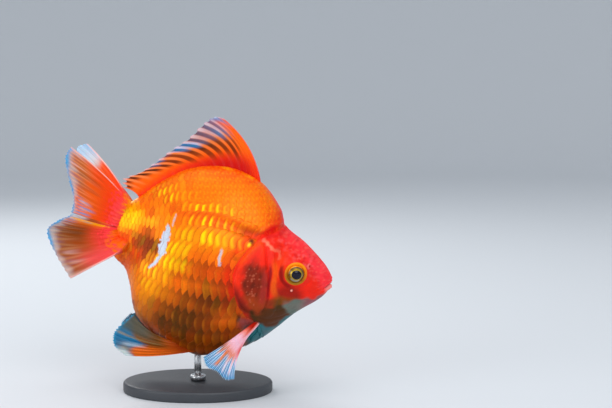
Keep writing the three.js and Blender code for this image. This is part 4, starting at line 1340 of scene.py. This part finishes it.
def build_orbit_ring(side, sign):
    """The rolled rim of golden skin that holds the eyeball."""
    turn = np.linspace(0, 2 * math.pi, 24, endpoint=False)
    radii = RING_RADIUS + RING_HALF_WIDE * np.cos(turn)
    slope = 0.14 * (radii - RING_RADIUS)
    heights = RING_LEVEL + RING_HALF_HIGH * np.sin(turn) - slope
    points, angle = turned_points(radii, heights, 96, eye_axes(sign))
    rows, columns = angle.shape
    faces = grid_faces(rows, columns, around=True)
    last = np.stack([(rows - 1) * columns + np.arange(columns),
                     (rows - 1) * columns + (np.arange(columns) + 1) % columns,
                     (np.arange(columns) + 1) % columns, np.arange(columns)], axis=-1)
    faces = np.concatenate([faces, last])
    r = np.broadcast_to(radii[:, None], angle.shape)
    top = 0.5 + 0.5 * np.sin(angle)
    outside = smooth(4.7, 5.1, r) * (0.45 + 0.55 * smooth(0.9, 0.4, top))
    tint = layered(plain(r.shape, "#D87808"), [
        ("#FF8C00", smooth(0.4, 0.9, top)),
        ("#8A6A10", 0.8 * smooth(0.55, 0.1, top) * smooth(4.85, 4.35, r)),
        ("#D8340C", 0.85 * outside),
    ])
    if sign < 0:
        faces = faces[:, ::-1]
    add_object("orbit_ring_" + side, points.reshape(-1, 3), faces.tolist(),
               material("moist_fish_skin", wet_skin), (),
               {"marking": tint.reshape(-1, 3)}, {"bare": np.ones(rows * columns)})


# ---- the stand ----------------------------------------------------------------------------------


BASE_ROUNDING = 1.2                               # of the base plate's upper edge
AXIS = 0.05                                       # a radius close to the axis


def turned_piece(name, profile, segments, stretch, node, finish):
    """A closed profile of radius and height turned about the stand's axis, in millimetres."""
    profile = np.array(profile, float)
    angle = np.linspace(0, 2 * math.pi, segments, endpoint=False)
    ring = np.stack([np.cos(angle) * stretch[0], np.sin(angle) * stretch[1]], axis=-1)
    flat = profile[:, 0, None, None] * ring[None]
    height = np.broadcast_to(profile[:, 1, None, None], flat.shape[:2] + (1,))
    points = np.concatenate([flat, height], axis=-1)
    rows, columns = points.shape[:2]
    faces = grid_faces(rows, columns, around=True)
    caps = [tuple(range(columns))[::-1], tuple(range((rows - 1) * columns, rows * columns))]
    add_object(name, points.reshape(-1, 3), faces.tolist() + caps, finish, (node,),
               in_fish_frame=False)


def build_stand():
    """The oval base plate, the rod and its collar, each as large as its solid."""
    low, high = (np.array(corner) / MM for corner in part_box("stand_base"))
    wide, top = (high - low)[:2] / 2, high[2]
    rounded = [(1 - BASE_ROUNDING / wide[0] * (1 - math.sin(a)),
                top - BASE_ROUNDING * (1 - math.cos(a))) for a in np.linspace(math.pi / 2, 0, 9)]
    profile = [(0.02, 0.0), (0.98, 0.0), (0.994, 0.25), (1.0, 0.7)] + rounded + [(0.02, top)]
    turned_piece("stand_base_plate", profile, 160, wide, "stand_base",
                 material("charcoal_powder_coat", powder_coat))
    steel = material("brushed_stainless_steel", brushed_steel)
    low, high = (np.array(corner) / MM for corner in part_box("stand_rod"))
    radius = (high - low)[0] / 2
    profile = [(AXIS, low[2]), (radius, low[2]), (radius, high[2] - 0.4), (AXIS, high[2])]
    turned_piece("stand_rod_bar", profile, 48, (1, 1), "stand_rod", steel)
    low, high = (np.array(corner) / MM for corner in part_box("stand_collar"))
    outer, inner = (high - low)[0] / 2, radius + 0.02
    profile = [(inner, low[2]), (outer - 0.3, low[2]), (outer, low[2] + 0.3),
               (outer, high[2] - 0.5), (outer - 0.15, high[2] - 0.15), (outer - 0.5, high[2]),
               (inner, high[2])]
    turned_piece("stand_collar_ring", profile, 64, (1, 1), "stand_collar", steel)


# ---- materials ----------------------------------------------------------------------------------

MATERIALS = {}
RAY_JOINT = 0.7                                   # length of one joint of a bony ray


def material(name, build):
    """The named material, built once; build adds its nodes and returns its shader."""
    if name not in MATERIALS:
        made = bpy.data.materials.new(name)
        made.use_nodes = True
        tree = made.node_tree
        tree.nodes.clear()
        shader = build(tree)
        add_node(tree, "ShaderNodeOutputMaterial", links={"Surface": shader.outputs[0]})
        MATERIALS[name] = made
    return MATERIALS[name]


def add_node(tree, kind, settings=None, links=None):
    """Adds one node, sets its values and sockets, and links its inputs from other sockets."""
    node = tree.nodes.new(kind)
    for key, value in (settings or {}).items():
        if isinstance(key, str) and hasattr(node, key):
            setattr(node, key, value)
        else:
            node.inputs[key].default_value = value
    for key, source in (links or {}).items():
        tree.links.new(source, node.inputs[key])
    return node


def wet_skin(tree):
    """Fish skin, moist: thin slime over red pigment gives a soft glow and a tight highlight."""
    where = add_node(tree, "ShaderNodeTexCoord").outputs["Object"]
    paint = add_node(tree, "ShaderNodeAttribute", {"attribute_name": "marking"})
    pores = add_node(tree, "ShaderNodeTexNoise",
                     {"Scale": 1 / (0.9 * MM), "Detail": 3.0, "Roughness": 0.6}, {"Vector": where})
    clouds = add_node(tree, "ShaderNodeTexNoise", {"Scale": 1 / (4.0 * MM), "Detail": 4.0},
                      {"Vector": where})
    shade = add_node(tree, "ShaderNodeMath", {"operation": "MULTIPLY_ADD", 1: 0.55, 2: 0.72},
                     {0: clouds.outputs[0]})
    colour = add_node(tree, "ShaderNodeVectorMath", {"operation": "SCALE"},
                      {0: paint.outputs["Color"], "Scale": shade.outputs[0]})
    relief = add_node(tree, "ShaderNodeBump", {"Strength": 0.25, "Distance": 0.12 * MM},
                      {"Height": pores.outputs[0]})
    return add_node(tree, "ShaderNodeBsdfPrincipled",
                    {"Roughness": 0.5, "IOR": 1.4, "Specular IOR Level": 0.18, "Coat Weight": 0.08,
                     "Coat Roughness": 0.2, "Subsurface Weight": 0.1,
                     "Subsurface Scale": 1.0 * MM, "Subsurface Radius": (1.0, 0.3, 0.12)},
                    {"Base Color": colour.outputs[0], "Normal": relief.outputs[0]})


def guanine_scale(tree):
    """Goldfish scale: clear bone over guanine crystals, so the orange shines like soft metal."""
    where = add_node(tree, "ShaderNodeTexCoord").outputs["Object"]
    paint = add_node(tree, "ShaderNodeAttribute", {"attribute_name": "marking"})
    grain = add_node(tree, "ShaderNodeTexNoise",
                     {"Scale": 1 / (0.6 * MM), "Detail": 3.0, "Roughness": 0.65}, {"Vector": where})
    shade = add_node(tree, "ShaderNodeMath", {"operation": "MULTIPLY_ADD", 1: 0.5, 2: 0.75},
                     {0: grain.outputs[0]})
    colour = add_node(tree, "ShaderNodeVectorMath", {"operation": "SCALE"},
                      {0: paint.outputs["Color"], "Scale": shade.outputs[0]})
    gloss = add_node(tree, "ShaderNodeMapRange", {1: 0.3, 2: 0.7, 3: 0.36, 4: 0.52},
                     {0: grain.outputs[0]})
    relief = add_node(tree, "ShaderNodeBump", {"Strength": 0.2, "Distance": 0.08 * MM},
                      {"Height": grain.outputs[0]})
    return add_node(tree, "ShaderNodeBsdfPrincipled",
                    {"Metallic": 0.35, "Specular IOR Level": 0.12, "Coat Weight": 0.05,
                     "Coat Roughness": 0.2},
                    {"Base Color": colour.outputs[0], "Roughness": gloss.outputs[0],
                     "Normal": relief.outputs[0]})


def fin_membrane(tree):
    """Fin membrane stretched over jointed bony rays: pigmented at the root, clearer at the edge."""
    paint = add_node(tree, "ShaderNodeAttribute", {"attribute_name": "marking"})
    clear = add_node(tree, "ShaderNodeAttribute", {"attribute_name": "clear"})
    along = add_node(tree, "ShaderNodeAttribute", {"attribute_name": "along"})
    ray = add_node(tree, "ShaderNodeAttribute", {"attribute_name": "ray"})
    turns = add_node(tree, "ShaderNodeMath",
                     {"operation": "MULTIPLY", 1: 2 * math.pi / RAY_JOINT},
                     {0: along.outputs["Fac"]})
    joints = add_node(tree, "ShaderNodeMath", {"operation": "SINE"}, {0: turns.outputs[0]})
    on_ray = add_node(tree, "ShaderNodeMath", {"operation": "MULTIPLY"},
                      {0: joints.outputs[0], 1: ray.outputs["Fac"]})
    shade = add_node(tree, "ShaderNodeMapRange", {1: -1.0, 2: 1.0, 3: 0.88, 4: 1.06},
                     {0: on_ray.outputs[0]})
    colour = add_node(tree, "ShaderNodeVectorMath", {"operation": "SCALE"},
                      {0: paint.outputs["Color"], "Scale": shade.outputs[0]})
    relief = add_node(tree, "ShaderNodeBump", {"Strength": 0.2, "Distance": 0.1 * MM},
                      {"Height": on_ray.outputs[0]})
    solid = add_node(tree, "ShaderNodeMath", {"operation": "SUBTRACT", 0: 1.0},
                     {1: clear.outputs["Fac"]})
    return add_node(tree, "ShaderNodeBsdfPrincipled",
                    {"Roughness": 0.45, "IOR": 1.42, "Specular IOR Level": 0.12,
                     "Coat Weight": 0.04, "Coat Roughness": 0.2, "Subsurface Weight": 0.15,
                     "Subsurface Scale": 0.8 * MM},
                    {"Base Color": colour.outputs[0], "Normal": relief.outputs[0],
                     "Alpha": solid.outputs[0]})


def wet_eye(tree):
    """Wet eyeball: a clear cornea's mirror highlight over a metallic gold iris."""
    paint = add_node(tree, "ShaderNodeAttribute", {"attribute_name": "marking"})
    gold = add_node(tree, "ShaderNodeAttribute", {"attribute_name": "gold"})
    metal = add_node(tree, "ShaderNodeMapRange", {1: 0.0, 2: 1.0, 3: 0.0, 4: 0.5},
                     {0: gold.outputs["Fac"]})
    return add_node(tree, "ShaderNodeBsdfPrincipled",
                    {"Roughness": 0.3, "IOR": 1.38, "Specular IOR Level": 0.1, "Coat Weight": 0.5,
                     "Coat Roughness": 0.03},
                    {"Base Color": paint.outputs["Color"], "Metallic": metal.outputs[0]})


def powder_coat(tree):
    """Steel plate, powder coated charcoal: a satin face with the fine pebble of baked powder."""
    where = add_node(tree, "ShaderNodeTexCoord").outputs["Object"]
    pebble = add_node(tree, "ShaderNodeTexNoise", {"Scale": 1 / (0.5 * MM), "Detail": 2.0},
                      {"Vector": where})
    relief = add_node(tree, "ShaderNodeBump", {"Strength": 0.15, "Distance": 0.05 * MM},
                      {"Height": pebble.outputs[0]})
    gloss = add_node(tree, "ShaderNodeMapRange", {1: 0.3, 2: 0.7, 3: 0.42, 4: 0.55},
                     {0: pebble.outputs[0]})
    return add_node(tree, "ShaderNodeBsdfPrincipled", {"Base Color": (*linear("#3A3D42"), 1.0)},
                    {"Normal": relief.outputs[0], "Roughness": gloss.outputs[0]})


def brushed_steel(tree):
    """Stainless steel bar, brushed round: fine rings that stretch the highlight along it."""
    where = add_node(tree, "ShaderNodeTexCoord").outputs["Object"]
    stretch = add_node(tree, "ShaderNodeMapping", {"Scale": (1.0, 1.0, 14.0)}, {"Vector": where})
    lines = add_node(tree, "ShaderNodeTexNoise", {"Scale": 1 / (1.2 * MM), "Detail": 2.0},
                     {"Vector": stretch.outputs[0]})
    gloss = add_node(tree, "ShaderNodeMapRange", {1: 0.3, 2: 0.7, 3: 0.2, 4: 0.36},
                     {0: lines.outputs[0]})
    return add_node(tree, "ShaderNodeBsdfPrincipled",
                    {"Base Color": (*linear("#C2C4C6"), 1.0), "Metallic": 1.0},
                    {"Roughness": gloss.outputs[0]})


def studio_paper(tree):
    """Seamless studio paper: matt and pale, so the light from it is soft."""
    return add_node(tree, "ShaderNodeBsdfPrincipled",
                    {"Base Color": (*linear("#D3D7DB"), 1.0), "Roughness": 0.8})


# ---- studio -------------------------------------------------------------------------------------


def build_floor():
    """A round pale floor that curves up into a plain low wall all about the stand."""
    bend = np.linspace(0, math.pi / 2, 17)
    radius = np.concatenate([[0.02, 0.8], 1.4 + 0.6 * np.sin(bend), [2.0]])
    height = np.concatenate([[0, 0], 0.6 - 0.6 * np.cos(bend), [0.8]])
    angle = np.linspace(0, 2 * math.pi, 96, endpoint=False)
    rows = np.stack([radius[:, None] * np.cos(angle), radius[:, None] * np.sin(angle),
                     np.broadcast_to(height[:, None], (len(radius), len(angle)))], axis=-1)
    faces = grid_faces(len(radius), len(angle), around=True)[:, ::-1].tolist()
    mesh = smooth_mesh("pale_floor", rows.reshape(-1, 3), faces + [tuple(range(len(angle)))],
                       material("pale_studio_paper", studio_paper))
    floor = placed("pale_floor", mesh)


SOFTBOXES = [                                     # name, place, width in metres, watts
    ("key_softbox", (0.35, -0.75, 0.55), 0.7, 3.8),
    ("top_softbox", (-0.05, -0.05, 0.85), 0.7, 1.5),
    ("left_fill", (-0.8, -0.6, 0.30), 0.7, 3.0),
    ("back_rim", (-0.35, 0.6, 0.55), 0.35, 2.2),
]
SOFTBOX_AIM = (0.01, 0.0, 0.07)                   # the middle of the fish, which they all face
AIR_COLOUR, AIR_STRENGTH = "#E9EEF5", 0.72


def add_light(name, place, target, size, power):
    """A round softbox turned towards its target."""
    light = bpy.data.lights.new(name, "AREA")
    light.shape, light.size, light.energy = "DISK", size, power
    lamp = placed(name, light)
    lamp.location = place
    lamp.rotation_euler = (Vector(target) - Vector(place)).to_track_quat("-Z", "Y").to_euler()


def build_lights():
    """The softboxes, and the pale air that fills the shadows between them."""
    for name, place, size, power in SOFTBOXES:
        add_light(name, place, SOFTBOX_AIM, size, power)
    world = bpy.data.worlds.new("studio_air")
    world.use_nodes = True
    air = world.node_tree.nodes["Background"]
    air.inputs["Color"].default_value = (*linear(AIR_COLOUR), 1.0)
    air.inputs["Strength"].default_value = AIR_STRENGTH
    bpy.context.scene.world = world
    bpy.context.scene.view_settings.view_transform = "Standard"


CAMERA_DISTANCE, CAMERA_ROUND, CAMERA_ABOVE = 0.600, math.radians(3), math.radians(5)
FRAME_WIDTH = 0.2586                              # what the picture spans at the fish
AIM_BEHIND_SNOUT, AIM_HEIGHT = 0.0114, 0.0805     # the place that the camera looks at


def build_camera():
    """Level with the fish's back, a touch ahead of square to its right side."""
    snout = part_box("head")[1].x
    target = Vector((snout - AIM_BEHIND_SNOUT, 0.0, AIM_HEIGHT))
    flat = math.cos(CAMERA_ABOVE)
    away = Vector((math.sin(CAMERA_ROUND) * flat, -math.cos(CAMERA_ROUND) * flat,
                   math.sin(CAMERA_ABOVE)))
    data = bpy.data.cameras.new("camera")
    data.sensor_width = 36.0
    data.lens = data.sensor_width * CAMERA_DISTANCE / FRAME_WIDTH
    data.clip_start, data.clip_end = 0.05, 20.0
    camera = placed("camera", data)
    camera.location = target + away * CAMERA_DISTANCE
    camera.rotation_euler = (-away).to_track_quat("-Z", "Y").to_euler()
    bpy.context.scene.camera = camera


build_camera()
build_skin()
for side, sign in SIDES:
    build_scales(side, sign, "back", range(0, 8))
    build_scales(side, sign, "belly", range(8, SCALE_ROWS))
    build_eye(side, sign)
    build_orbit_ring(side, sign)
build_fins()
build_stand()
build_floor()
build_lights()
